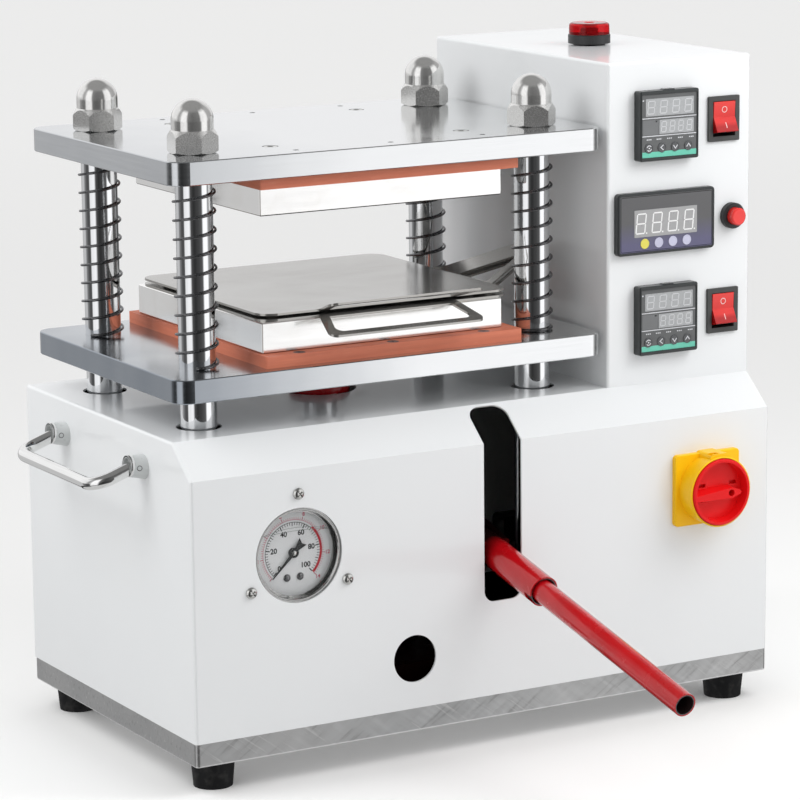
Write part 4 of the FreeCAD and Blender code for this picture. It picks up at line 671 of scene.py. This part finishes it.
# -------- return springs
SPRING_WIRE, SPRING_MEAN_R, STEPS_A_TURN = 1.8 * MM, 13.9 * MM, 28
END_RISE, END_BLEND = 0.1, 0.15  # share of the pitch in a flat end, and turns in which it grows
SPRINGS = {  # turns, turns that lie flat at each end, angle of the lower end
    "front_left": (10.04, 0.0, 240.0), "front_right": (10.83, 0.42, 181.0),
    "rear_left": (10.04, 0.0, 208.0), "rear_right": (10.04, 0.0, 306.0),
}


def coil_rise(turn, turns, flat):
    """Share of full pitch at a point of the wire: the ends lie flat against the plates."""
    inward = min(turn, turns - turn)
    blend = min(max((inward - flat) / END_BLEND, 0), 1)
    return END_RISE + (1 - END_RISE) * blend


def spring(name, turns, flat, start):
    """Open coil spring round one column."""
    count = round(turns * STEPS_A_TURN)
    low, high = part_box("spring_" + name)
    post_low, post_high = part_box("column_" + name)
    cx, cy = (post_low.x + post_high.x) / 2, (post_low.y + post_high.y) / 2
    rises = [coil_rise((i + 0.5) * turns / count, turns, flat) for i in range(count)]
    scale = (high.z - low.z - SPRING_WIRE) / sum(rises)
    bm = bmesh.new()
    rings, z = [], low.z + SPRING_WIRE / 2
    for i in range(count + 1):
        a = radians(start + 360 * turns * i / count)
        section = [(SPRING_MEAN_R + SPRING_WIRE / 2 * c, SPRING_WIRE / 2 * s) for c, s in circle(10)]
        rings.append([(cx + r * cos(a), cy + r * sin(a), z + rise) for r, rise in section])
        if i < count:
            z += rises[i] * scale
    loft(bm, rings)
    made = drawn("return_spring_" + name, bm, "spring_steel", smooth=True)
    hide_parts("spring_" + name)
    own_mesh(made)


for column_name, coil in SPRINGS.items():
    spring(column_name, *coil)


# -------- instruments
SEGMENTS = (  # ends in half widths and quarter heights
    ((-1, 2), (1, 2)), ((1, 2), (1, 0)), ((1, 0), (1, -2)), ((-1, -2), (1, -2)), ((-1, 0), (-1, -2)),
    ((-1, 2), (-1, 0)), ((-1, 0), (1, 0)))
MITRE_GAP, DOT_OUT, DOT_W, DOT_R = 0.12, 1.75, 1.1, 0.3  # in stroke widths
FIGURES, WINDOW_T, SLANT = 4, 0.22 * MM, 0.10


def digit(bm, place, w, h, stroke, point):
    """Unlit seven-segment figure: mitred bars that lean to the right, and a decimal point."""
    def lean(u, v):
        return u + v * SLANT, v

    for ends in SEGMENTS:
        a, b = [Vector((u * w / 2, v * h / 4)) for u, v in ends]
        way = (b - a).normalized()
        side = Vector((-way.y, way.x)) * stroke / 2
        gap = way * stroke * MITRE_GAP
        a, b = a + gap, b - gap
        tip = way * stroke / 2
        ring = [a, a + tip - side, b - tip - side, b, b - tip + side, a + tip + side]
        place.shape(bm, [lean(p.x, p.y) for p in ring])
    if point:
        u, v = w / 2 + stroke * DOT_OUT, -h / 2
        dot = outline(stroke * DOT_W, stroke * DOT_W, stroke * DOT_R, 3)
        place.shape(bm, [lean(u + p, v + q) for p, q in dot])


def display(name, place, w, h, digit_w, digit_h, pitch, stroke, window, bars, first=0.0, point=False):
    """Window with a row of unlit figures."""
    bm = bmesh.new()
    place.pad(bm, w, h, 0.5 * MM, 0.0, WINDOW_T, 0.06 * MM)
    drawn(name + "_window", bm, window)
    bm = bmesh.new()
    for i in range(FIGURES):
        u = first + (i - (FIGURES - 1) / 2) * pitch
        digit(bm, place.moved(u, 0, WINDOW_T), digit_w, digit_h, stroke, point)
    drawn(name + "_figures", bm, bars)


KEY_PROFILE = ((1.0, 0.0), (1.0, 0.55), (0.93, 0.95), (0.84, 1.0), (0.80, 0.72), (0.66, 0.78), (0.4, 0.92),
               (0.15, 0.97))  # shares of the key's radius and height
KEY_SIGN, KEY_SIGN_LINE = 1.75 * MM, 0.62 * MM


def round_key(name, place, d, ink, proud):
    """Round membrane key with a raised rim and a shallow crown."""
    profile = [(d / 2 * r / MM, proud * w / MM) for r, w in KEY_PROFILE]
    turned(name, place, profile, ink, sides=36)


def key_mark(name, place, kind):
    """Sign on a key: a loop arrow, or a chevron that points left, down or up."""
    bm = bmesh.new()
    s, thick = KEY_SIGN, KEY_SIGN_LINE
    if kind == "loop":
        place.arc(bm, s * 1.05, 35, 165, thick, steps=14)
        place.arc(bm, s * 1.05, 215, 345, thick, steps=14)
        place.shape(bm, outline(s * 0.6, s * 0.5, s * 0.12, 3))
    else:
        a = radians({"left": 90, "down": 180, "up": 0}[kind])
        chevron = ((-s, -s * 0.55), (0, s * 0.75), (s, -s * 0.55))
        place.stroke(bm, [(u * cos(a) - v * sin(a), u * sin(a) + v * cos(a)) for u, v in chevron], thick)
    drawn(name, bm, "line_white")


CONTROLLER_RIM_X, CONTROLLER_RIM_Z, CONTROLLER_SINK = 1.4 * MM, 2.4 * MM, 1.0 * MM
CATCH_H = 0.7 * MM
FACE_GAP, FACE_T, FACE_SINK, FACE_BEVEL = 0.3 * MM, 0.35 * MM, -0.1 * MM, 0.08 * MM
KEY_D, KEY_T, KEY_FIELD_T = 7.0 * MM, 0.5 * MM, 0.47 * MM


def controller_face(node):
    """Membrane face: two windows, rules, a teal foot and four keys."""
    low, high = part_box(node)
    w = high.x - low.x - 2 * CONTROLLER_RIM_X - FACE_GAP
    h = high.z - CATCH_H - low.z - 2 * CONTROLLER_RIM_Z - FACE_GAP
    face = front_of(node).moved(0, -CATCH_H / 2, -CONTROLLER_SINK)
    bm = bmesh.new()
    face.pad(bm, w, h, 0.9 * MM, FACE_SINK, FACE_T, FACE_BEVEL)
    drawn(node + "_face", bm, "face_grey")

    def on(across, down):
        """Place at shares of the face's width from the left and height from the top."""
        return face.moved((across - 0.5) * w, (0.5 - down) * h, FACE_T)

    display(node + "_upper", on(0.505, 0.203), w * 0.876, h * 0.277, w * 0.118, h * 0.20, w * 0.225,
            0.8 * MM, "window_pale", "segment_pale")
    display(node + "_lower", on(0.629, 0.520), w * 0.628, h * 0.226, w * 0.084, h * 0.16, w * 0.155,
            0.75 * MM, "window_pale", "segment_pale")
    bm = bmesh.new()
    on(0.162, 0.52).shape(bm, outline(w * 0.285, h * 0.235, 0.3 * MM, 3))
    drawn(node + "_blank_field", bm, "panel_grey")
    bm = bmesh.new()
    for down in (0.375, 0.658):
        on(0.5, down).shape(bm, outline(w * 0.985, 0.6 * MM, 0.1 * MM, 2))
    for across, down in ((0.025, 0.089), (0.263, 0.426)):
        on(across, down).shape(bm, outline(1.2 * MM, 1.2 * MM, 0.55 * MM, 4))
    for across in (0.13, 0.31, 0.50, 0.70, 0.90):
        for k in (-1, 0, 1):
            on(across + k * 0.032, 0.712).shape(bm, outline(w * 0.021, 0.8 * MM, 0.1 * MM, 2))
    drawn(node + "_rules", bm, "line_white")
    bm = bmesh.new()
    on(0.5, 0.954).shape(bm, outline(w * 0.985, h * 0.088, 0.3 * MM, 3))
    drawn(node + "_strip", bm, "teal_strip")
    for across, kind in ((0.127, "loop"), (0.364, "left"), (0.604, "down"), (0.845, "up")):
        key = on(across, 0.848).moved(0, 0, PRINT_T)
        round_key(f"{node}_key_{kind}", key, KEY_D, "key_dark", KEY_T)
        key_mark(f"{node}_mark_{kind}", key.moved(0, 0, KEY_FIELD_T), kind)


METER_RIM, METER_SINK, METER_FILM_T = 1.9 * MM, 0.5 * MM, 0.3 * MM
METER_KEY_D, METER_KEY_T = 7.2 * MM, 0.35 * MM


def meter_face():
    """Face of the wide meter: bare upper field, one window, four keys."""
    low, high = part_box("power_meter")
    face = front_of("power_meter").moved(0, 0, -METER_SINK)
    w = high.x - low.x - 2 * METER_RIM - FACE_GAP
    h = high.z - low.z - 2 * METER_RIM - FACE_GAP
    FINISHES["meter_film"] = meter_film(face.z - h * 0.36, face.z + h * 0.02)
    bm = bmesh.new()
    face.pad(bm, w, h, 1.2 * MM, FACE_SINK, METER_FILM_T, FACE_BEVEL)
    drawn("power_meter_face", bm, "meter_film")
    top = face.moved(0, 0, METER_FILM_T)
    bm = bmesh.new()
    top.stroke(bm, outline(w * 0.985, h * 0.965, 1.0 * MM, 4), 0.3 * MM, closed=True)
    drawn("power_meter_line", bm, "ink_black")
    display("power_meter", top.moved(-0.01 * w, 0.002 * h), w * 0.68, h * 0.483, w * 0.094, h * 0.345,
            w * 0.173, 0.95 * MM, "meter_window", "segment_white", first=-w * 0.008, point=True)
    for i, ink in enumerate(("key_yellow", "key_lilac", "key_lilac", "key_lilac")):
        key = top.moved((-0.236 + 0.152 * i) * w, -0.36 * h)
        round_key(f"power_meter_key_{i + 1}", key, METER_KEY_D, ink, METER_KEY_T)


for controller in ("controller_upper", "controller_lower"):
    controller_face(controller)
meter_face()


# -------- pressure gauge
GAUGE_START, GAUGE_SWEEP, GAUGE_FULL = 225.0, 270.0, 100
SCALE_R, NUMERAL_R, OUTER_R, OUTER_NUMERAL_R = 20.6 * MM, 14.4 * MM, 22.3 * MM, 26.6 * MM
RED_FROM, RED_BAND = 66, 1.6 * MM
DIAL_SCREWS, DIAL_SCREW_DROP = (("left", -4.6 * MM), ("right", 5.4 * MM)), 17.0 * MM
FLUID_LEVEL, FLUID_REACH, FLUID_BEHIND = 14.2 * MM, 25.2 * MM, 0.4 * MM


def gauge_angle(value):
    return GAUGE_START - GAUGE_SWEEP * value / GAUGE_FULL


def ticks(bm, place, values, inner, outer, width):
    for value in values:
        a = radians(gauge_angle(value))
        place.stroke(bm, [(r * cos(a), r * sin(a)) for r in (inner, outer)], width)


def dial_print():
    """Black 0 to 100 scale with a red zone, and a thin red outer scale."""
    dial = front_of("gauge_dial")
    bm = bmesh.new()
    ticks(bm, dial, [v for v in range(0, 101, 2) if v % 10], SCALE_R - 2.0 * MM, SCALE_R, 0.40 * MM)
    ticks(bm, dial, [v for v in range(0, 101, 10) if v % 20], SCALE_R - 2.7 * MM, SCALE_R, 0.48 * MM)
    ticks(bm, dial, range(0, 101, 20), SCALE_R - 3.2 * MM, SCALE_R, 0.75 * MM)
    dial.arc(bm, SCALE_R, gauge_angle(RED_FROM), gauge_angle(0), 0.36 * MM)
    drawn("dial_black_scale", bm, "ink_black")
    bm = bmesh.new()
    dial.arc(bm, SCALE_R + RED_BAND / 2, gauge_angle(100), gauge_angle(RED_FROM), RED_BAND)
    drawn("dial_red_zone", bm, "ink_red")
    bm = bmesh.new()
    dial.arc(bm, OUTER_R, gauge_angle(100), gauge_angle(0), 0.26 * MM, steps=96)
    ticks(bm, dial, [i * 100 / 70 for i in range(71)], OUTER_R, OUTER_R + 1.6 * MM, 0.30 * MM)
    ticks(bm, dial, [i * 100 / 7 for i in range(8)], OUTER_R, OUTER_R + 2.4 * MM, 0.5 * MM)
    drawn("dial_outer_scale", bm, "ink_pink")
    for value in range(0, 101, 20):
        a = radians(gauge_angle(value))
        reach = NUMERAL_R if value < 100 else NUMERAL_R - 0.8 * MM
        numeral(f"dial_number_{value}", value, dial.moved(reach * cos(a), reach * sin(a)), 3.5 * MM,
                "ink_black", 0.16 * MM)
    for i in range(1, 8):
        a = radians(gauge_angle(i * 100 / 7))
        place = dial.moved(OUTER_NUMERAL_R * cos(a), OUTER_NUMERAL_R * sin(a))
        numeral(f"dial_outer_number_{i}", 2 * i, place, 2.6 * MM, "ink_pink", 0.08 * MM)


def dial_screws():
    """Two small screws that hold the dial plate."""
    for side, u in DIAL_SCREWS:
        turned("dial_screw_" + side, front_of("gauge_dial").moved(u, -DIAL_SCREW_DROP),
               ((2.6, 0.0), (2.6, 0.35), (2.2, 0.8), (1.5, 1.1), (0.7, 1.2)), "spring_steel")


def fluid_line():
    """Edge of the damping fluid behind the glass: two shallow curves across the top."""
    low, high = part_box("gauge_glass")
    place = front_of("gauge_glass").moved(0, 0, low.y - high.y - FLUID_BEHIND)
    bm = bmesh.new()
    for sag in (1.4 * MM, 3.6 * MM):
        across = [i / 16 - 1 for i in range(33)]
        place.stroke(bm, [(t * FLUID_REACH, FLUID_LEVEL + sag * (1 - t * t)) for t in across], 0.28 * MM)
    drawn("gauge_fluid_line", bm, "fluid_edge")


def needle_hub():
    """Bright screw in the middle of the pointer's hub."""
    dial = front_of("gauge_dial")
    turned("needle_hub_screw", Front(dial.x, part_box("gauge_needle")[0].y, dial.z),
           ((1.7, -0.2), (1.7, 0.15), (1.4, 0.35), (0.5, 0.45)), "screw_steel", "needle")


dial_print()
dial_screws()
fluid_line()
needle_hub()


# -------- chrome rings in the ferrules' mouths
FERRULE_MOUTH_R, FERRULE_ROOT_R, FERRULE_RISE = 7.2 * MM, 8.5 * MM, 1.6 * MM
MOUTH_RING = ((0.2, -2.9), (0.25, -0.4), (-0.1, 0.0), (-1.0, 0.0), (-1.45, -0.6), (-1.45, -2.9))
GRUB_R, GRUB_LINE, GRUB_BACK, GRUB_DROP = 1.9 * MM, 0.5 * MM, 5.6 * MM, 0.7 * MM
GRUB_SINK, FERRULE_REACH = 0.1 * MM, 12 * MM


def ferrule_fittings():
    """A chrome ring round each mouth, a grub screw's dark joint in each side."""
    low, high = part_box("handle_ferrules")
    z = low.z + FERRULE_ROOT_R + FERRULE_RISE
    profile = [(FERRULE_MOUTH_R / MM + dr, dx) for dr, dx in MOUTH_RING]
    for side, tip, out in (("left", low.x, -1), ("right", high.x, 1)):
        for place, y in (("front", low.y + FERRULE_ROOT_R), ("rear", high.y - FERRULE_ROOT_R)):
            tube_piece(f"mouth_ring_{side}_{place}", profile, Vector((tip, y, z)), Vector((out, 0, 0)),
                       "handle_chrome", smooth=True)
            bm = bmesh.new()
            laid_ring(bm, "handle_ferrules", Front(tip - out * GRUB_BACK, y, z - GRUB_DROP),
                      GRUB_R - GRUB_LINE, GRUB_R, 24, GRUB_SINK, FERRULE_REACH)
            drawn(f"grub_screw_{side}_{place}", bm, "spring_steel")


ferrule_fittings()


# -------- marks on the rocker switches
MARK_LINE, MARK_R, RING_RISE = 0.25 * MM, 2.0 * MM, 5.6 * MM
BAR_W, BAR_H, BAR_DROP = 0.28 * MM, 1.9 * MM, 5.2 * MM
MARK_SINK, KEY_REACH = 0.05 * MM, 5 * MM


def rocker_marks(node, body):
    """Moulded O above and I below on a rocker key."""
    place = front_of(node)
    bm = bmesh.new()
    laid_ring(bm, node, place.moved(0, RING_RISE), MARK_R - MARK_LINE, MARK_R + MARK_LINE, 32, MARK_SINK,
              KEY_REACH)
    bar = [place.at(u * BAR_W, v * BAR_H - BAR_DROP) for u, v in
           ((-1, -1), (1, -1), (1, -0.4), (1, 0.4), (1, 1), (-1, 1), (-1, 0.4), (-1, -0.4))]
    loft(bm, [lay_on(node, bar, lift, KEY_REACH) for lift in (-MARK_SINK, PRINT_T)])
    drawn(node + "_marks", bm, "ink_pale", body)


rocker_marks("rocker_upper", "rocker_key_upper")
rocker_marks("rocker_lower", "rocker_key_lower")


# -------- screw heads, lever mouths and rear flange
CLAMP_REACH, HEAD_TOLERANCE = 12 * MM, 0.01 * MM
CLAMP_FACE = ((4.9, -2.0), (4.9, -0.45), (4.5, -0.1), (2.5, -0.1), (2.2, -0.4), (2.2, -2.0))


def clamp_heads():
    """Faces of the four clamp screws in the top plate's counterbores."""
    top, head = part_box("top_plate")[1].z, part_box("upper_platen_screws")[1].z
    rims = [v.co for v in nodes["upper_platen_screws"].data.vertices if abs(v.co.z - head) < HEAD_TOLERANCE]
    found = []
    for point in rims:
        if all((point - other).length > CLAMP_REACH for other in found):
            found.append(point)
            near = [p for p in rims if (p - point).length < CLAMP_REACH]
            middle = [(min(p[k] for p in near) + max(p[k] for p in near)) / 2 for k in (0, 1)]
            tube_piece(f"clamp_head_{len(found)}", CLAMP_FACE, Vector((*middle, top)), Vector((0, 0, 1)),
                       "screw_steel")


LEVER_X, PIVOT_Y, PIVOT_Z, LEVER_REST = 8.0 * MM, 70.0 * MM, 147.0 * MM, radians(12.5)
MOUTHS = {  # in millimetres: end from the pivot, bore radius, depth seen, width of the rim
    "socket": (125.5, 9.3, 8.8, 0.5),
    "tube": (299.0, 6.5, 60, 0.55),
}


def lever_mouths():
    """Worn rim of the socket's mouth and of the tube's open end, and a near black lining inside each:
    painted shade of the bore.
    """
    low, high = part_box("cabinet")
    pivot = Vector(((low.x + high.x) / 2 + LEVER_X, low.y + PIVOT_Y, PIVOT_Z))
    along = Vector((0, -cos(LEVER_REST), -sin(LEVER_REST)))
    for name, (end, bore, deep, rim) in MOUTHS.items():
        at = pivot + along * end * MM
        # painted shade: a near black lining sheet inside the bore
        lining = [(bore - 0.02, -deep), (bore - 0.02, -0.05), (bore - 0.12, -0.05), (bore - 0.12, -deep)]
        edge = [(bore - 0.05, -0.2), (bore - 0.05, 0.04), (bore + rim, 0.04), (bore + rim, -0.2)]
        for part, profile, finish in (("inside", lining, "hollow_dark"), ("rim", edge, "spring_steel")):
            tube_piece(f"lever_{name}_{part}", profile, at, along, finish, "pump_lever")


FLANGE_H, FLANGE_GAP, FLANGE_SINK = 12 * MM, 2 * MM, 0.05 * MM


def rear_flange():
    """Folded lower edge of the cabinet behind the rear cover, down to the base plate."""
    low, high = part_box("cabinet")
    at = Front((low.x + high.x) / 2, high.y - FLANGE_SINK, low.z + FLANGE_H / 2)
    half_w, half_h = (high.x - low.x) / 2 - FLANGE_GAP, FLANGE_H / 2
    bm = bmesh.new()
    at.shape(bm, [(u * half_w, v * half_h) for u, v in CORNERS], 0.0, 1.4 * MM)
    drawn("rear_flange", bm, "white_powder_coat")


def sounder():
    """Dark sounder inside the buzzer's red lens."""
    low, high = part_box("buzzer_lens")
    at = Vector(((low.x + high.x) / 2, (low.y + high.y) / 2, low.z))
    r, top = 0.18 * (high.x - low.x) / MM, 0.55 * (high.z - low.z) / MM
    profile = [(0.3, 0.4), (r, 0.4), (r, top - 1), (r / 1.2, top), (0.3, top)]
    tube_piece("sounder", profile, at, Vector((0, 0, 1)), "hollow_dark")


clamp_heads()
lever_mouths()
rear_flange()
sounder()


# -------- floor, light and camera
FLOOR_REACH = 14.0
PAPER_FOR_LIGHT, PAPER_FOR_CAMERA = (0.66, 0.66, 0.655), (0.955, 0.955, 0.95)
GLOW_FROM, GLOW_FULL, FAR_GLOW = 0.7, 3.5, 0.085  # paleness of the far paper, for the camera only


def floor():
    """Pale paper, which throws back less light than the camera sees in it."""
    bm = bmesh.new()
    bm.faces.new([bm.verts.new((u * FLOOR_REACH, v * FLOOR_REACH, 0)) for u, v in CORNERS])
    ground = bpy.data.objects.new("studio_floor", from_bmesh("studio_floor", bm))
    bpy.context.scene.collection.objects.link(ground)
    m = Finish("studio_floor", PAPER_FOR_LIGHT, 0.9)
    camera_ray = m.node("LightPath").outputs["Is Camera Ray"]
    m.paint(m.mixed(camera_ray, PAPER_FOR_LIGHT, PAPER_FOR_CAMERA))
    away = m.node("VectorMath", [(m.place, 0)])
    away.operation = "LENGTH"
    glow = m.remap(away.outputs["Value"], GLOW_FROM, GLOW_FULL, 0.0, FAR_GLOW)
    m.wire(m.math("MULTIPLY", glow, camera_ray), "Emission Strength")
    m.set("Emission Color", (1, 1, 1, 1))
    ground.data.materials.append(m.material)
    ground.visible_glossy = False


EVEN_LIGHT, BACKDROP = (0.80,) * 3, (0.87,) * 3
LOW_BAND = [  # degrees from the front to the right, and the level mirrored from there
    (-180, 0.55), (-165, 0.60), (-143, 0.60), (-130, 0.22), (-110, 0.09), (-97, 0.09), (-88, 1.0),
    (-60, 1.1), (-47, 0.08), (-30, 0.035), (-8, 0.06), (16, 0.10), (21, 0.25), (25, 0.8), (28, 1.22),
    (53, 1.25), (66, 0.34), (95, 0.12), (125, 0.08), (150, 0.3), (165, 0.5)]
HIGH_BAND = [
    (-180, 1.04), (-125, 0.95), (-104, 0.34), (-94, 0.6), (-86, 1.2), (-62, 1.2), (-48, 0.14), (-25, 0.07),
    (12, 0.12), (26, 1.1), (54, 1.2), (70, 0.44), (95, 0.40), (118, 0.82), (150, 0.95)]


def studio_world():
    """Even light for matt surfaces; glossy ones see soft boxes, a dark room and pale paper."""
    world = bpy.data.worlds.new("studio")
    world.use_nodes = True
    world.node_tree.nodes.clear()
    n = Nodes(world.node_tree)
    x, y, z = n.node("SeparateXYZ", [
        (n.node("TexCoord").outputs["Generated"], 0)]).outputs
    azimuth = n.math("ARCTAN2", x, n.math("MULTIPLY", y, -1.0))
    turn = n.math("ADD", n.math("DIVIDE", azimuth, 2 * pi), 0.5)

    def band(stops):
        made = n.node("ValToRGB", [(turn, 0)])
        ramp = made.color_ramp
        ramp.interpolation = "EASE"
        while len(ramp.elements) < len(stops):
            ramp.elements.new(0.5)
        for element, (degrees, level) in zip(ramp.elements, stops):
            element.position = (degrees + 180) / 360
            element.color = (level, level, level * 1.01, 1)
        return made.outputs[0]

    def past(height, steepness):
        """Share that grows above, or below, a height of the mirrored direction."""
        return n.math("MULTIPLY", n.math("SUBTRACT", z, height), steepness, clamp=True)

    shade = n.mixed(n.math("MULTIPLY_ADD", z, 9.0, 0.5, clamp=True), band(LOW_BAND), band(HIGH_BAND))
    ceiling, paper = past(0.62, 5.0), past(-0.55, -6.0)
    table_edge = n.math("MULTIPLY", past(-0.445, -40.0), past(-0.60, 30.0))
    for share, level in ((ceiling, 0.22), (paper, 0.62), (table_edge, 0.03)):
        shade = n.mixed(share, shade, (level,) * 3)
    rays = n.node("LightPath").outputs
    mirror = n.math("MAXIMUM", rays["Is Glossy Ray"], rays["Is Transmission Ray"])
    colour = n.mixed(rays["Is Camera Ray"], n.mixed(mirror, EVEN_LIGHT, shade), BACKDROP)
    background = n.node("Background", [(colour, "Color")])
    n.node("OutputWorld", [(background.outputs[0], 0)])
    bpy.context.scene.world = world


PRESS_MIDDLE = Vector((0, 0, 0.24))


def soft_box(name, azimuth, elevation, distance, size, power):
    """Area lamp aimed at the press; metal mirrors the world's own bright band in its place."""
    lamp = bpy.data.lights.new(name, "AREA")
    lamp.shape, lamp.size, lamp.size_y, lamp.energy = "RECTANGLE", size[0], size[1], power
    a, e = radians(azimuth), radians(elevation)
    way = Vector((sin(a) * cos(e), -cos(a) * cos(e), sin(e)))
    holder = bpy.data.objects.new(name, lamp)
    holder.location = PRESS_MIDDLE + way * distance
    holder.rotation_euler = way.to_track_quat("Z", "Y").to_euler()
    holder.visible_glossy = holder.visible_camera = False
    bpy.context.scene.collection.objects.link(holder)


CAMERA_AZ, CAMERA_EL, CAMERA_ROLL = radians(-29.6477), radians(11.4038), radians(-0.6058)
CAMERA_TARGET, CAMERA_DISTANCE = Vector((0.0095483, 0.123972, 0.2184143)), 2.5702123
CAMERA_LENS = 161.33  # millimetres, for a sensor 36 mm wide


def camera():
    back = Vector((sin(CAMERA_AZ) * cos(CAMERA_EL), -cos(CAMERA_AZ) * cos(CAMERA_EL), sin(CAMERA_EL)))
    right = Vector((cos(CAMERA_AZ), sin(CAMERA_AZ), 0))
    up = back.cross(right)
    across = right * cos(CAMERA_ROLL) + up * sin(CAMERA_ROLL)
    rise = up * cos(CAMERA_ROLL) - right * sin(CAMERA_ROLL)
    turn = Matrix((across, rise, back)).transposed().to_4x4()
    lens = bpy.data.cameras.new("camera")
    lens.sensor_width, lens.lens, lens.clip_end = 36, CAMERA_LENS, 4 * FLOOR_REACH
    holder = bpy.data.objects.new("camera", lens)
    holder.matrix_world = Matrix.Translation(CAMERA_TARGET + back * CAMERA_DISTANCE) @ turn
    bpy.context.scene.collection.objects.link(holder)
    bpy.context.scene.camera = holder


floor()
studio_world()
soft_box("high_left", -104, 38, 1.0, (0.5, 0.5), 3.2)
soft_box("near_right", 58, 35, 0.92, (0.5, 0.6), 2.8)
soft_box("near_tower", 41, 45, 0.68, (0.3, 0.3), 0.72)
camera()
bpy.context.scene.view_settings.view_transform = "Standard"
